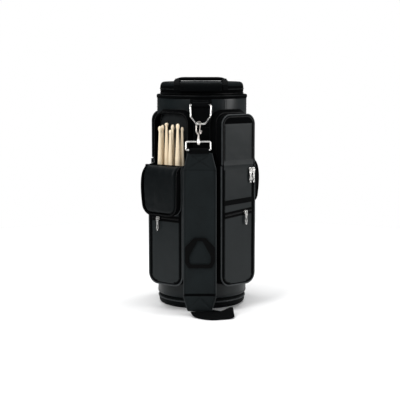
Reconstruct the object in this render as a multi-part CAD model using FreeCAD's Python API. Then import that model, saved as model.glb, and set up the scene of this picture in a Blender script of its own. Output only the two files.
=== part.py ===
import FreeCAD, Part
import math
import os

# A free-standing cylindrical drum stick bag, in millimetres. The origin is the centre of the
# flat base, +Z is up, the spine with the shoulder strap faces -Y, and +X is to its right.

V = FreeCAD.Vector
ORIGIN = V(0, 0, 0)
X_AXIS = V(1, 0, 0)
Y_AXIS = V(0, 1, 0)
Z_AXIS = V(0, 0, 1)

# Padded tube
BODY_R = 117.5
BODY_WALL = 4.9
BODY_BOTTOM = 28.0
BODY_TOP = 547.0
LINING = 1.2
FIT_GAP = 0.1
TRIM_R = 2.1

# Base
BASE_R = 113.6
BASE_CORNER = 9.6
BASE_WALL = 6.0
BOARD_THICK = 4.0
BASE_PIPING_Z = 18.0

# Lid
LID_WALL_R = 108.2
LID_BOTTOM = 551.6
LID_SEAM = 565.0
LID_TOP = 583.0
LID_CROWN = 1.0
LID_SHOULDER = 10.0
LID_TRIM_R = 1.7
LID_SLIDER_TURN = -148.0
LID_SLIDER_RISE = 4.0
LID_SLIDER_OUT = 4.4
LID_SLIDER_THICK = 3.2
LID_PIN_X = 8.4
LID_SLIDER_HALF = 2.6
LID_LUG_HALF = 1.0
LID_LUG_LIFT = 0.8
LID_LUG_OVERLAP = 0.5
LID_PIN_R = 1.4
LID_PIN_RUN = 0.05
LID_PIN_HEAD_R = 2.4
LID_PIN_HEAD_THICK = 0.7
LID_PULL_LENGTH = 25.6
LID_PULL_HALF = 2.4

# Lid handles: a padded grip on a webbing loop at the front, a padded loop at the back
HANDLE_X = -2.5
HANDLE_SPREAD = 61.0
HANDLE_STRAP = 14.0
HANDLE_GAP = 2.0
PATCH_LENGTH = 24.0
PATCH_THICK = 2.6
WEBBING = 3.0
FRONT_HANDLE_Y = -62.0
FRONT_GRIP_Y = -121.6
FRONT_GRIP_Z = 571.5
FRONT_GRIP_R = 11.0
FRONT_GRIP_HALF = 53.0
FRONT_GRIP_EDGE = 4.0
CORE_HALF = 7.0
REAR_HANDLE_Y = 44.0
REAR_BAR_THICK = 10.0
REAR_BAR_NEAR = -1.0
REAR_BAR_FAR = 29.0
HANDLE_Z = LID_TOP + LID_CROWN + 3.2

# Four box pockets, laid out at equal angles either side of the spine
POCKET_AZIMUTH = 38.0
POCKET_HALF = 56.0
POCKET_FRONT = 151.0
POCKET_BOTTOM = 66.0
POCKET_TOP = 508.0
POCKET_CORNER = 28.0
POCKET_WALL = 3.0
POCKET_EDGE = 6.0
FOLD_Z = 375.0
ZIP_DEPTH = 128.0
ZIP_GAP = 0.4
ZIP_THICK = 1.5

# Flap: a tray that closes the upper part of each pocket and folds down about FOLD_AXIS
FLAP_HALF = 54.0
FLAP_TOP = 503.5
FLAP_CORNER = 26.0
FLAP_WALL = 2.6
FLAP_BOTTOM = FOLD_Z + 1.3
FOLD_AXIS_DEPTH = POCKET_FRONT + 1.2
FOLD_AXIS_Z = FOLD_Z + 0.5

# Zip hardware
SLIDER_WIDTH = 9.0
SLIDER_LENGTH = 11.0
SLIDER_THICK = 3.4
BRIDGE_GAP = 2.6
BRIDGE_THICK = 1.0
BRIDGE_WIDTH = 2.4
BRIDGE_REACH = 4.5
PULL_THICK = 1.4
PULL_LENGTH = 33.0
PULL_WIDTH = 7.0
SLIDER_GAP = 0.3
GUSSET_SLIDER_Z = 371.0
FRONT_SLIDER_Z = 361.0
FRONT_SLIDER_U = {"inner": 36.5, "outer": 46.5}
LOWER_ZIP_HALF = 46.0
LEFT_ZIP_Z = 238.0
RIGHT_ZIP_Z = 252.0
RIGHT_ZIP_SLOPE = 5.5
ZIP_CHAIN = 1.0
TAPE_THICK = 0.8
LOWER_SLIDER_U = 21.0

# Spine webbing and the ring at its top
SPINE_X = -2.5
SPINE_HALF = 27.0
SPINE_THICK = 2.4
SPINE_BOTTOM = 44.0
SPINE_TOP = 541.0
RING_X = -3.0
RING_HALF = 26.5
RING_WIRE = 2.4
RING_DROP = 49.0
RING_Y = -123.4
RING_Z = 527.0
RING_RUN = 0.05
TAB_R = 4.9
TAB_HALF = 22.5

# Shoulder strap: hook, loop, pad and webbing. It leans out from the ring by STRAP_LEAN.
STRAP_LEAN = 17.0
HOOK_X = -8.5
HOOK_PLANE = 52.0
HOOK_WIRE = 2.3
HOOK_R = 8.8
LOOP_X = -9.0
LOOP_HALF = 31.0
LOOP_WIRE = 2.2
LOOP_BEND = 3.0
LOOP_TOP_DROP = 95.0
LOOP_HEIGHT = 21.0
STEM_R = 2.0
GATE_X = 4.2
GATE_DROP = 72.5
GATE_PIN_R = 1.2
FOLD_X = -7.0
FOLD_HALF = 25.0
FOLD_R = 5.2
FOLD_TAIL = 6.8
PAD_LOOP_DROP = 213.0
PAD_LOOP_THICK = 4.0
PAD_X = -5.0
PAD_TOP_Z = 409.0
PAD_TOP_Y = -156.5
PAD_BOTTOM_Z = 11.0
PAD_BOTTOM_Y = -186.0
PAD_THICK = 9.0
PAD_HALF = 42.0
PAD_END_HALF = 31.0
PAD_TAPER_TOP = 43.0
PAD_TAPER_BOTTOM = 36.0

# Drum sticks, seven standing in the open front pocket
STICK_LENGTH = 406.0
STICK_R = 6.5
STICK_TAPER = 92.0
NECK_R = 3.1
FRONT_ROW = 141.2
REAR_ROW = 125.3
STICK_FLOOR = POCKET_BOTTOM + POCKET_WALL
STICK_RISE = 1.2

POCKETS = {
    "front_left": {"turn": -POCKET_AZIMUTH, "outer": -1, "open": True},
    "front_right": {"turn": POCKET_AZIMUTH, "outer": 1, "open": False},
    "rear_right": {"turn": 180.0 - POCKET_AZIMUTH, "outer": -1, "open": True},
    "rear_left": {"turn": POCKET_AZIMUTH - 180.0, "outer": 1, "open": False},
}

nodes = {}


def keep(name, *solids):
    """Store a node as one shape, or as a group of separate solids."""
    nodes[name] = solids[0] if len(solids) == 1 else Part.makeCompound(list(solids))


def block(x0, x1, y0, y1, z0, z1):
    return Part.makeBox(x1 - x0, y1 - y0, z1 - z0, V(x0, y0, z0))


def turned(shape, centre, axis, degrees):
    """A copy of the shape, turned about an axis."""
    copy = shape.copy()
    copy.rotate(centre, axis, degrees)
    return copy


def revolved(edges):
    """Solid of revolution about Z from a closed profile in the XZ plane."""
    return Part.Face(Part.Wire(edges)).revolve(ORIGIN, Z_AXIS, 360)


def curve(*poles):
    """Smooth edge that starts and ends along the lines between its outer poles."""
    bezier = Part.BezierCurve()
    bezier.setPoles(list(poles))
    return bezier.toShape()


def polygon(points):
    return Part.makePolygon(list(points) + [points[0]])


def tube(outer, inner, z0, z1):
    return Part.makeCylinder(outer, z1 - z0, V(0, 0, z0)).cut(Part.makeCylinder(inner, z1 - z0, V(0, 0, z0)))


def torus(ring_radius, wire_radius, z):
    return Part.makeTorus(ring_radius, wire_radius, V(0, 0, z))


def arched_outline(half, bottom, top, low_radius, high_radius, y):
    """Closed outline in an XZ plane at depth y, its lower and upper corners rounded."""
    edges = []
    corners = [
        (half, bottom, low_radius, -90), (half, top, high_radius, 0),
        (-half, top, high_radius, 90), (-half, bottom, low_radius, 180),
    ]
    ends = []
    for x, z, radius, start in corners:
        inward_x = -math.copysign(radius, x)
        inward_z = radius if z == bottom else -radius
        centre = V(x + inward_x, y, z + inward_z)
        angles = [math.radians(start + step) for step in (0, 45, 90)]
        arc = [centre + V(math.cos(a), 0, math.sin(a)) * radius for a in angles]
        ends.append((arc, radius))
    for index, (arc, radius) in enumerate(ends):
        if radius > 0:
            edges.append(Part.Arc(*arc).toShape())
        following = ends[(index + 1) % len(ends)][0]
        edges.append(Part.makeLine(arc[2], following[0]))
    return Part.Wire(edges)


def arched_block(half, bottom, top, low_radius, high_radius, near, far):
    """Block with rounded corners seen from the front, between two depths from the axis."""
    outline = arched_outline(half, bottom, top, low_radius, high_radius, -near)
    return Part.Face(outline).extrude(V(0, near - far, 0))


def rounded_path(points, radii, closed=False):
    """Wire through the points, straight between tangent arcs of one radius, or of one each."""
    count = len(points)
    if not isinstance(radii, list):
        radii = [radii] * count
    arcs = {}
    inner = range(count) if closed else range(1, count - 1)
    for index in inner:
        corner = points[index]
        back = (points[index - 1] - corner).normalize()
        ahead = (points[(index + 1) % count] - corner).normalize()
        half_turn = (math.pi - back.getAngle(ahead)) / 2
        radius = radii[index]
        cut = radius * math.tan(half_turn)
        bisector = (back + ahead).normalize()
        middle = corner + bisector * (radius / math.cos(half_turn) - radius)
        arcs[index] = (corner + back * cut, middle, corner + ahead * cut)
    edges = []
    for index in range(count if closed else count - 1):
        following = (index + 1) % count
        start = arcs[index][2] if index in arcs else points[index]
        end = arcs[following][0] if following in arcs else points[following]
        edges.append(Part.makeLine(start, end))
        if following in arcs:
            edges.append(Part.Arc(*arcs[following]).toShape())
    return Part.Wire(edges)


def rod(path, radius):
    """Round wire along a path."""
    first = path.Edges[0]
    start = first.valueAt(first.FirstParameter)
    along = first.tangentAt(first.FirstParameter)
    section = Part.Wire(Part.makeCircle(radius, start, along))
    return path.makePipeShell([section], True, False)


def strip(points, width_from, width_to, thickness):
    """Webbing of even thickness that follows points in a YZ plane, between two X values."""
    offsets = []
    for index, point in enumerate(points):
        before = points[max(index - 1, 0)]
        after = points[min(index + 1, len(points) - 1)]
        along = V(0, after[0] - before[0], after[1] - before[1]).normalize()
        normal = V(0, -along.z, along.y) * (thickness / 2)
        centre = V(width_from, point[0], point[1])
        offsets.append((centre + normal, centre - normal))
    outline = [upper for upper, _ in offsets] + [lower for _, lower in reversed(offsets)]
    return Part.Face(polygon(outline)).extrude(V(width_to - width_from, 0, 0))


# ---------------------------------------------------------------- tube and base

def make_body():
    shell = tube(BODY_R, BODY_R - BODY_WALL, BODY_BOTTOM, BODY_TOP)
    keep("body_shell", shell)
    outer = BODY_R - BODY_WALL - FIT_GAP
    inner = outer - LINING
    cup = Part.makeCylinder(outer, BODY_TOP - BODY_BOTTOM, V(0, 0, BODY_BOTTOM))
    hollow = Part.makeCylinder(inner, BODY_TOP, V(0, 0, BODY_BOTTOM + LINING))
    keep("body_lining", cup.cut(hollow))


def make_base():
    low = BASE_CORNER
    side = BASE_R
    bend = low * (1 - math.sqrt(0.5))
    corner = Part.Arc(V(side - low, 0, 0), V(side - bend, 0, bend), V(side, 0, low))
    top = BODY_BOTTOM - FIT_GAP
    inner = side - BASE_WALL
    edges = [
        Part.makeLine(ORIGIN, V(side - low, 0, 0)), corner.toShape(),
        Part.makeLine(V(side, 0, low), V(side, 0, top)),
        Part.makeLine(V(side, 0, top), V(inner, 0, top)),
        Part.makeLine(V(inner, 0, top), V(inner, 0, BASE_WALL)),
        Part.makeLine(V(inner, 0, BASE_WALL), V(0, 0, BASE_WALL)),
        Part.makeLine(V(0, 0, BASE_WALL), ORIGIN),
    ]
    keep("base_cup", revolved(edges))
    board_bottom = top - BOARD_THICK
    keep("base_board", Part.makeCylinder(inner - FIT_GAP, BOARD_THICK, V(0, 0, board_bottom)))
    foam_height = board_bottom - BASE_WALL - 2 * FIT_GAP
    keep("base_foam", Part.makeCylinder(inner - FIT_GAP, foam_height, V(0, 0, BASE_WALL + FIT_GAP)))


def pocket_piping():
    """Piping round the lower front edge of a pocket, from one end of the fold to the other."""
    inset = 1.2
    side = POCKET_HALF - inset
    low = POCKET_BOTTOM + inset
    depth = -(POCKET_FRONT - inset)
    points = [V(-side, depth, FOLD_Z - 1), V(-side, depth, low), V(side, depth, low), V(side, depth, FOLD_Z - 1)]
    return rod(rounded_path(points, POCKET_CORNER - inset), TRIM_R)


def make_piping():
    base_ring = torus(BASE_R, TRIM_R, BASE_PIPING_Z).cut(
        Part.makeCylinder(BASE_R + FIT_GAP / 2, 4 * TRIM_R, V(0, 0, BASE_PIPING_Z - 2 * TRIM_R)))
    rim_ring = torus(BODY_R, TRIM_R, BODY_TOP + TRIM_R + FIT_GAP)
    solids = [base_ring, rim_ring]
    for name, pocket in POCKETS.items():
        trim = turned(pocket_piping(), ORIGIN, Z_AXIS, pocket["turn"])
        solids.append(largest(trim.cut(nodes[name + "_pocket"])))
    keep("piping", *solids)


def largest(shape):
    """The biggest solid of a cut shape, without its slivers."""
    return max(shape.Solids, key=lambda solid: solid.Volume)


def make_rim_zip():
    tape_inner = LID_WALL_R + 1.0
    tape_outer = BODY_R - TRIM_R - FIT_GAP
    tape = tube(tape_outer, tape_inner, BODY_TOP + FIT_GAP, BODY_TOP + 1.2)
    chain = tube(tape_inner + 4.0, tape_inner + 1.0, BODY_TOP + 1.2, BODY_TOP + 3.6)
    keep("rim_zip", tape.fuse(chain).removeSplitter())


# ---------------------------------------------------------------- pockets

def pocket_box():
    """Fixed part of a pocket: the whole box below the fold, and the rear half of its gusset above."""
    outer = arched_block(POCKET_HALF, POCKET_BOTTOM, POCKET_TOP, POCKET_CORNER, POCKET_CORNER, 60, POCKET_FRONT)
    front_edges = [edge for edge in outer.Edges
                   if all(abs(vertex.Point.y + POCKET_FRONT) < 0.01 for vertex in edge.Vertexes)]
    outer = outer.makeFillet(POCKET_EDGE, front_edges)
    inner = arched_block(POCKET_HALF - POCKET_WALL, POCKET_BOTTOM + POCKET_WALL, POCKET_TOP - POCKET_WALL,
                         POCKET_CORNER - POCKET_WALL, POCKET_CORNER - POCKET_WALL, 50, POCKET_FRONT - POCKET_WALL)
    flap_space = block(-POCKET_HALF - 5, POCKET_HALF + 5, -POCKET_FRONT - 5, -ZIP_DEPTH + ZIP_GAP,
                       FOLD_Z, POCKET_TOP + 5)
    body = Part.makeCylinder(BODY_R + FIT_GAP, 600)
    return largest(outer.cut(inner).cut(flap_space).cut(body))


def zip_band(half, top, corner, wall, near, far, bottom):
    """U-shaped band of zip tape on the edge of a gusset."""
    outer = arched_block(half, bottom - corner, top, 0, corner, near, far)
    inner = arched_block(half - wall, bottom - 2 * corner, top - wall, 0, corner - wall, near - 1, far + 1)
    below = block(-half - 5, half + 5, -far - 5, -near + 5, bottom - 3 * corner, bottom)
    return outer.cut(inner).cut(below)


def gusset_zip():
    return zip_band(POCKET_HALF - FIT_GAP, POCKET_TOP - FIT_GAP, POCKET_CORNER, POCKET_WALL,
                    ZIP_DEPTH - ZIP_GAP, ZIP_DEPTH - ZIP_GAP + ZIP_THICK, FOLD_Z + 1.3)


def flap_tray():
    """Flap in its closed place, open to the back and at the fold."""
    near = ZIP_DEPTH + 2 * ZIP_THICK
    drop = 40.0
    outer = arched_block(FLAP_HALF, FLAP_BOTTOM - drop, FLAP_TOP, 0, FLAP_CORNER, near, POCKET_FRONT)
    front_edges = [edge for edge in outer.Edges
                   if all(abs(vertex.Point.y + POCKET_FRONT) < 0.01 for vertex in edge.Vertexes)]
    outer = outer.makeFillet(POCKET_EDGE - 1, front_edges)
    inner = arched_block(FLAP_HALF - FLAP_WALL, FLAP_BOTTOM - 2 * drop, FLAP_TOP - FLAP_WALL, 0,
                         FLAP_CORNER - FLAP_WALL, near - 5, POCKET_FRONT - FLAP_WALL)
    below = block(-FLAP_HALF - 5, FLAP_HALF + 5, -POCKET_FRONT - 5, -near + 5,
                  FLAP_BOTTOM - 3 * drop, FLAP_BOTTOM)
    return largest(outer.cut(inner).cut(below))


def flap_zip():
    start = ZIP_DEPTH + ZIP_THICK
    return zip_band(FLAP_HALF, FLAP_TOP, FLAP_CORNER, FLAP_WALL, start, start + ZIP_THICK - FIT_GAP, FLAP_BOTTOM)


def lower_zip(height, slope):
    """Straight zip across the lower front panel: flat tape and a raised chain."""
    tape = block(-LOWER_ZIP_HALF, LOWER_ZIP_HALF, -POCKET_FRONT - TAPE_THICK, -POCKET_FRONT, height - 8, height + 8)
    chain = block(-LOWER_ZIP_HALF + 2, LOWER_ZIP_HALF - 2, -POCKET_FRONT - TAPE_THICK - ZIP_CHAIN,
                  -POCKET_FRONT - TAPE_THICK, height - 2.4, height + 2.4)
    both = tape.fuse(chain).removeSplitter()
    return turned(both, V(0, 0, height), Y_AXIS, -slope)


def make_pockets():
    zips = []
    for name, pocket in POCKETS.items():
        turn = pocket["turn"]
        keep(name + "_pocket", turned(pocket_box(), ORIGIN, Z_AXIS, turn))
        zips.append(turned(gusset_zip(), ORIGIN, Z_AXIS, turn))
        fold = V(0, -FOLD_AXIS_DEPTH, FOLD_AXIS_Z)
        for suffix, shape in (("_flap", flap_tray()), ("_flap_zip", flap_zip())):
            if pocket["open"]:
                shape = turned(shape, fold, X_AXIS, 180)
            keep(name + suffix, turned(shape, ORIGIN, Z_AXIS, turn))
    zips.append(turned(lower_zip(LEFT_ZIP_Z, 0), ORIGIN, Z_AXIS, POCKETS["front_left"]["turn"]))
    zips.append(turned(lower_zip(RIGHT_ZIP_Z, RIGHT_ZIP_SLOPE), ORIGIN, Z_AXIS, POCKETS["front_right"]["turn"]))
    keep("pocket_zips", *zips)


# ---------------------------------------------------------------- zip sliders and pulls
# A slider faces -Y with its back at y = 0 and its travel along Z. The pull's crossbar lies
# under the slider's bridge, so the pull hangs down and flips up.

def slider(width, length):
    """Plate, width across and length up, with a bridge that stands off its face."""
    plate = block(-width / 2, width / 2, -SLIDER_THICK, 0, -length / 2, length / 2)
    upright = [edge for edge in plate.Edges
               if abs(edge.Vertexes[0].Point.y - edge.Vertexes[1].Point.y) > 1]
    plate = plate.makeFillet(2.5, upright)
    outside = SLIDER_THICK + BRIDGE_GAP + BRIDGE_THICK
    bridge = block(-BRIDGE_WIDTH / 2, BRIDGE_WIDTH / 2, -outside, -SLIDER_THICK, -BRIDGE_REACH, BRIDGE_REACH)
    gap = block(-BRIDGE_WIDTH, BRIDGE_WIDTH, -SLIDER_THICK - BRIDGE_GAP, -SLIDER_THICK,
                -BRIDGE_REACH + BRIDGE_THICK, BRIDGE_REACH - BRIDGE_THICK)
    return plate.fuse(bridge.cut(gap)).removeSplitter()


def pull():
    """Hanging tab with an eye, its crossbar at z = 0."""
    bar = 0.7
    eye_half = 4.0
    eye_low = -SLIDER_LENGTH / 2 - 1.2
    low = -PULL_LENGTH
    depth = -(SLIDER_THICK + BRIDGE_GAP / 2) - PULL_THICK / 2
    waist = V(2.4, depth, eye_low - 3)
    wide = V(PULL_WIDTH / 2, depth, low + 8)
    right = [V(eye_half, depth, bar), V(eye_half, depth, eye_low), waist, wide, V(1.6, depth, low)]
    left = [V(-point.x, point.y, point.z) for point in reversed(right)]
    tab = Part.Face(polygon(right + left)).extrude(V(0, PULL_THICK, 0))
    eye = block(-eye_half + 1.3, eye_half - 1.3, depth - 1, depth + PULL_THICK + 1, eye_low + 1.3, -bar)
    slot = block(-1.1, 1.1, depth - 1, depth + PULL_THICK + 1, low + 5, low + 15)
    return tab.cut(eye).cut(slot)


def slider_place(shape, depth, along, height):
    """Move a slider or pull out to a front panel, at a place across it and a height."""
    copy = shape.copy()
    copy.translate(V(along, -depth, height))
    return copy


def make_gusset_sliders():
    """Sliders where the zips end at the fold: two on the face of the front right pocket, and one
    on the outer side of each other pocket."""
    pieces = (("slider", slider(SLIDER_WIDTH, SLIDER_LENGTH)), ("pull", pull()))
    for name, pocket in POCKETS.items():
        for kind, shape in pieces:
            if name == "front_right":
                for place, across in FRONT_SLIDER_U.items():
                    placed = slider_place(shape, POCKET_FRONT + SLIDER_GAP, across, FRONT_SLIDER_Z)
                    keep("front_right_" + place + "_" + kind, turned(placed, ORIGIN, Z_AXIS, pocket["turn"]))
            else:
                placed = slider_place(shape, POCKET_HALF + SLIDER_GAP, 0, GUSSET_SLIDER_Z)
                placed = turned(placed, ORIGIN, Z_AXIS, 90 * pocket["outer"])
                placed.translate(V(0, -ZIP_DEPTH, 0))
                keep(name + "_" + kind, turned(placed, ORIGIN, Z_AXIS, pocket["turn"]))


def make_lower_sliders():
    face = POCKET_FRONT + TAPE_THICK + ZIP_CHAIN + SLIDER_GAP
    for name, height, slope in (("front_left", LEFT_ZIP_Z, 0), ("front_right", RIGHT_ZIP_Z, RIGHT_ZIP_SLOPE)):
        pocket = POCKETS[name]
        along = LOWER_SLIDER_U * pocket["outer"]
        lift = height + along * math.tan(math.radians(slope))
        for kind, shape in (("slider", slider(SLIDER_LENGTH, SLIDER_WIDTH)), ("pull", pull())):
            placed = slider_place(shape, face, along, lift)
            keep(name + "_lower_" + kind, turned(placed, ORIGIN, Z_AXIS, pocket["turn"]))


# ---------------------------------------------------------------- lid and its handles

def make_lid():
    wall = LID_WALL_R
    shoulder = wall - LID_SHOULDER
    low = LID_SEAM + 0.5
    bend = LID_SHOULDER * (1 - math.sqrt(0.5))
    corner = Part.Arc(V(wall, 0, LID_TOP - LID_SHOULDER), V(wall - bend, 0, LID_TOP - bend), V(shoulder, 0, LID_TOP))
    crown = curve(V(shoulder, 0, LID_TOP), V(shoulder / 2, 0, LID_TOP + LID_CROWN), V(0, 0, LID_TOP + LID_CROWN))
    edges = [
        Part.makeLine(V(0, 0, low), V(wall, 0, low)), Part.makeLine(V(wall, 0, low), V(wall, 0, LID_TOP - LID_SHOULDER)),
        corner.toShape(), crown, Part.makeLine(V(0, 0, LID_TOP + LID_CROWN), V(0, 0, low)),
    ]
    keep("lid_panel", revolved(edges))
    zip_wall = Part.makeCylinder(wall, LID_SEAM - LID_BOTTOM, V(0, 0, LID_BOTTOM))
    zip_hollow = Part.makeCylinder(wall - 4, LID_SEAM - LID_BOTTOM, V(0, 0, LID_BOTTOM))
    keep("lid_zip", zip_wall.cut(zip_hollow))
    keep("lid_piping", torus(wall + LID_TRIM_R + FIT_GAP / 2, LID_TRIM_R, LID_SEAM + 0.2))


def make_lid_slider():
    """Slider parked at the rear left end of the lid zip. Its pull lies along the rim and turns
    flat about an upright pin with a head."""
    base = BODY_TOP + LID_SLIDER_RISE
    radius = LID_WALL_R + LID_SLIDER_OUT
    arm = LID_PIN_X
    end = SLIDER_LENGTH / 2
    low = LID_SLIDER_THICK + SLIDER_GAP
    high = low + PULL_THICK
    plate = block(-end, end, -LID_SLIDER_HALF, LID_SLIDER_HALF, 0, LID_SLIDER_THICK)
    lug = block(end - LID_LUG_OVERLAP, arm, -LID_LUG_HALF, LID_LUG_HALF, LID_LUG_LIFT, LID_SLIDER_THICK)
    pin = Part.makeCylinder(LID_PIN_R, high + SLIDER_GAP - LID_LUG_LIFT, V(arm, 0, LID_LUG_LIFT))
    head = Part.makeCylinder(LID_PIN_HEAD_R, LID_PIN_HEAD_THICK, V(arm, 0, high + SLIDER_GAP))
    body = plate.fuse([lug, pin, head]).removeSplitter()
    tab = block(arm - LID_SLIDER_HALF, arm + LID_PULL_LENGTH, -LID_PULL_HALF, LID_PULL_HALF, low, high)
    tab = tab.cut(Part.makeCylinder(LID_PIN_R + LID_PIN_RUN, SLIDER_LENGTH, V(arm, 0, 0)))
    for kind, shape in (("slider", body), ("pull", tab)):
        shape.translate(V(0, -radius, base))
        keep("lid_" + kind, turned(shape, ORIGIN, Z_AXIS, LID_SLIDER_TURN))


def handle_straps(route):
    """The two side straps of a handle, along a route in the YZ plane."""
    straps = []
    for side in (-1, 1):
        middle = HANDLE_X + side * HANDLE_SPREAD
        straps.append(strip(route, middle - HANDLE_STRAP / 2, middle + HANDLE_STRAP / 2, WEBBING))
    return straps


def front_handle():
    """Front handle: two side straps that run over the lid's edge to a band inside the grip."""
    low = FRONT_GRIP_Z - CORE_HALF
    high = FRONT_GRIP_Z + CORE_HALF
    route = [
        (FRONT_HANDLE_Y, HANDLE_Z), (FRONT_HANDLE_Y - 34, HANDLE_Z), (FRONT_HANDLE_Y - 52, HANDLE_Z - 5),
        (FRONT_GRIP_Y, high - 1), (FRONT_GRIP_Y, low),
    ]
    reach = HANDLE_SPREAD + HANDLE_STRAP / 2
    band = block(HANDLE_X - reach, HANDLE_X + reach,
                 FRONT_GRIP_Y - WEBBING / 2, FRONT_GRIP_Y + WEBBING / 2, low, high)
    return band.fuse(handle_straps(route)).removeSplitter()


def front_grip():
    """Padded wrap round the middle of the front handle's band."""
    left = HANDLE_X - FRONT_GRIP_HALF
    wrap = Part.makeCylinder(FRONT_GRIP_R, 2 * FRONT_GRIP_HALF, V(left, FRONT_GRIP_Y, FRONT_GRIP_Z), X_AXIS)
    rims = [edge for edge in wrap.Edges if len(edge.Vertexes) == 1]
    wrap = wrap.makeFillet(FRONT_GRIP_EDGE, rims)
    depth = WEBBING / 2 + FIT_GAP
    height = CORE_HALF + FIT_GAP
    sleeve = block(left, left + 2 * FRONT_GRIP_HALF, FRONT_GRIP_Y - depth, FRONT_GRIP_Y + depth,
                   FRONT_GRIP_Z - height, FRONT_GRIP_Z + height)
    return wrap.cut(sleeve)


def rear_handle():
    """Rear handle: two side straps and a padded bar that lies on the lid."""
    low = LID_TOP + LID_CROWN + 0.9
    bar = arched_block(HANDLE_SPREAD + HANDLE_STRAP / 2, low, low + REAR_BAR_THICK, 0, REAR_BAR_THICK - 0.5,
                       REAR_BAR_NEAR, REAR_BAR_FAR)
    bar.translate(V(HANDLE_X, 0, 0))
    straps = handle_straps([(REAR_HANDLE_Y, HANDLE_Z), (-REAR_BAR_NEAR - 2, HANDLE_Z)])
    return bar.fuse(straps).removeSplitter()


def handle_patches(lid):
    """Stitched patches that hold the ends of the handles, one behind each strap."""
    half = HANDLE_STRAP / 2 + 2
    high = LID_TOP + LID_CROWN + PATCH_THICK
    patches = []
    for side in (-1, 1):
        middle = HANDLE_X + side * HANDLE_SPREAD
        for line in (FRONT_HANDLE_Y, REAR_HANDLE_Y):
            patch = block(middle - half, middle + half, line + HANDLE_GAP, line + HANDLE_GAP + PATCH_LENGTH,
                          LID_TOP - 1, high)
            patches.append(patch.cut(lid))
    return patches


def make_handles():
    keep("front_handle", front_handle())
    keep("front_grip", front_grip())
    keep("rear_handle", rear_handle())
    keep("handle_patches", *handle_patches(nodes["lid_panel"]))


# ---------------------------------------------------------------- spine, ring and strap

def make_spine():
    ring = tube(BODY_R + FIT_GAP + SPINE_THICK, BODY_R + FIT_GAP, SPINE_BOTTOM, SPINE_TOP)
    front = block(SPINE_X - SPINE_HALF, SPINE_X + SPINE_HALF, -BODY_R - 10, 0, SPINE_BOTTOM, SPINE_TOP)
    webbing = ring.common(front)
    for name in ("front_left", "front_right"):
        webbing = largest(webbing.cut(nodes[name + "_pocket"]))
    keep("spine_webbing", webbing)
    back = BODY_R + 2 * FIT_GAP + SPINE_THICK
    fold = Part.makeCylinder(TAB_R, 2 * TAB_HALF, V(RING_X - TAB_HALF, RING_Y, RING_Z), X_AXIS)
    plate = block(RING_X - TAB_HALF, RING_X + TAB_HALF, RING_Y - 1.6, RING_Y + 12, RING_Z, SPINE_TOP - 2)
    root = block(RING_X - TAB_HALF, RING_X + TAB_HALF, RING_Y, RING_Y + 12, RING_Z - TAB_R, RING_Z)
    tab = fold.fuse([plate, root]).cut(Part.makeCylinder(back, 600))
    bore = Part.makeCylinder(RING_WIRE + RING_RUN, 2 * TAB_HALF + 2, V(RING_X - TAB_HALF - 1, RING_Y, RING_Z), X_AXIS)
    keep("ring_tab", tab.cut(bore).removeSplitter())


def leaned(shape):
    """Lean a piece of the hanging strap out from the spine, about the ring's top bar."""
    return turned(shape, V(0, RING_Y, RING_Z), X_AXIS, -STRAP_LEAN)


def hanging(x, drop):
    """A point of the strap hardware before it leans out: across, and below the ring's top bar."""
    return V(x, RING_Y, RING_Z - drop)


def make_ring():
    corners = [(-RING_HALF, 0), (RING_HALF, 0), (RING_HALF - 1.5, 30), (11, RING_DROP),
               (-11, RING_DROP), (-RING_HALF + 1.5, 30)]
    points = [hanging(RING_X + x, drop) for x, drop in corners]
    path = rounded_path(points, [3.0, 3.0, 8.0, 7.0, 7.0, 8.0], closed=True)
    keep("strap_ring", leaned(rod(path, RING_WIRE)))


def make_swivel_loop():
    top = LOOP_TOP_DROP
    corners = [(-LOOP_HALF, top), (LOOP_HALF, top), (LOOP_HALF, top + LOOP_HEIGHT), (-LOOP_HALF, top + LOOP_HEIGHT)]
    path = rounded_path([hanging(LOOP_X + x, drop) for x, drop in corners], LOOP_BEND, closed=True)
    barrel = Part.makeCylinder(4.4, 9.0, hanging(HOOK_X, top + 4.5))
    bore = Part.makeCylinder(STEM_R + RING_RUN, 20, hanging(HOOK_X, top + 10))
    keep("swivel_loop", leaned(rod(path, LOOP_WIRE).fuse(barrel).cut(bore)))


def hook_frame(shape):
    """Turn a piece drawn in the plane of the hook to its place on the strap."""
    return leaned(turned(shape, hanging(HOOK_X, 0), Z_AXIS, -HOOK_PLANE))


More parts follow.
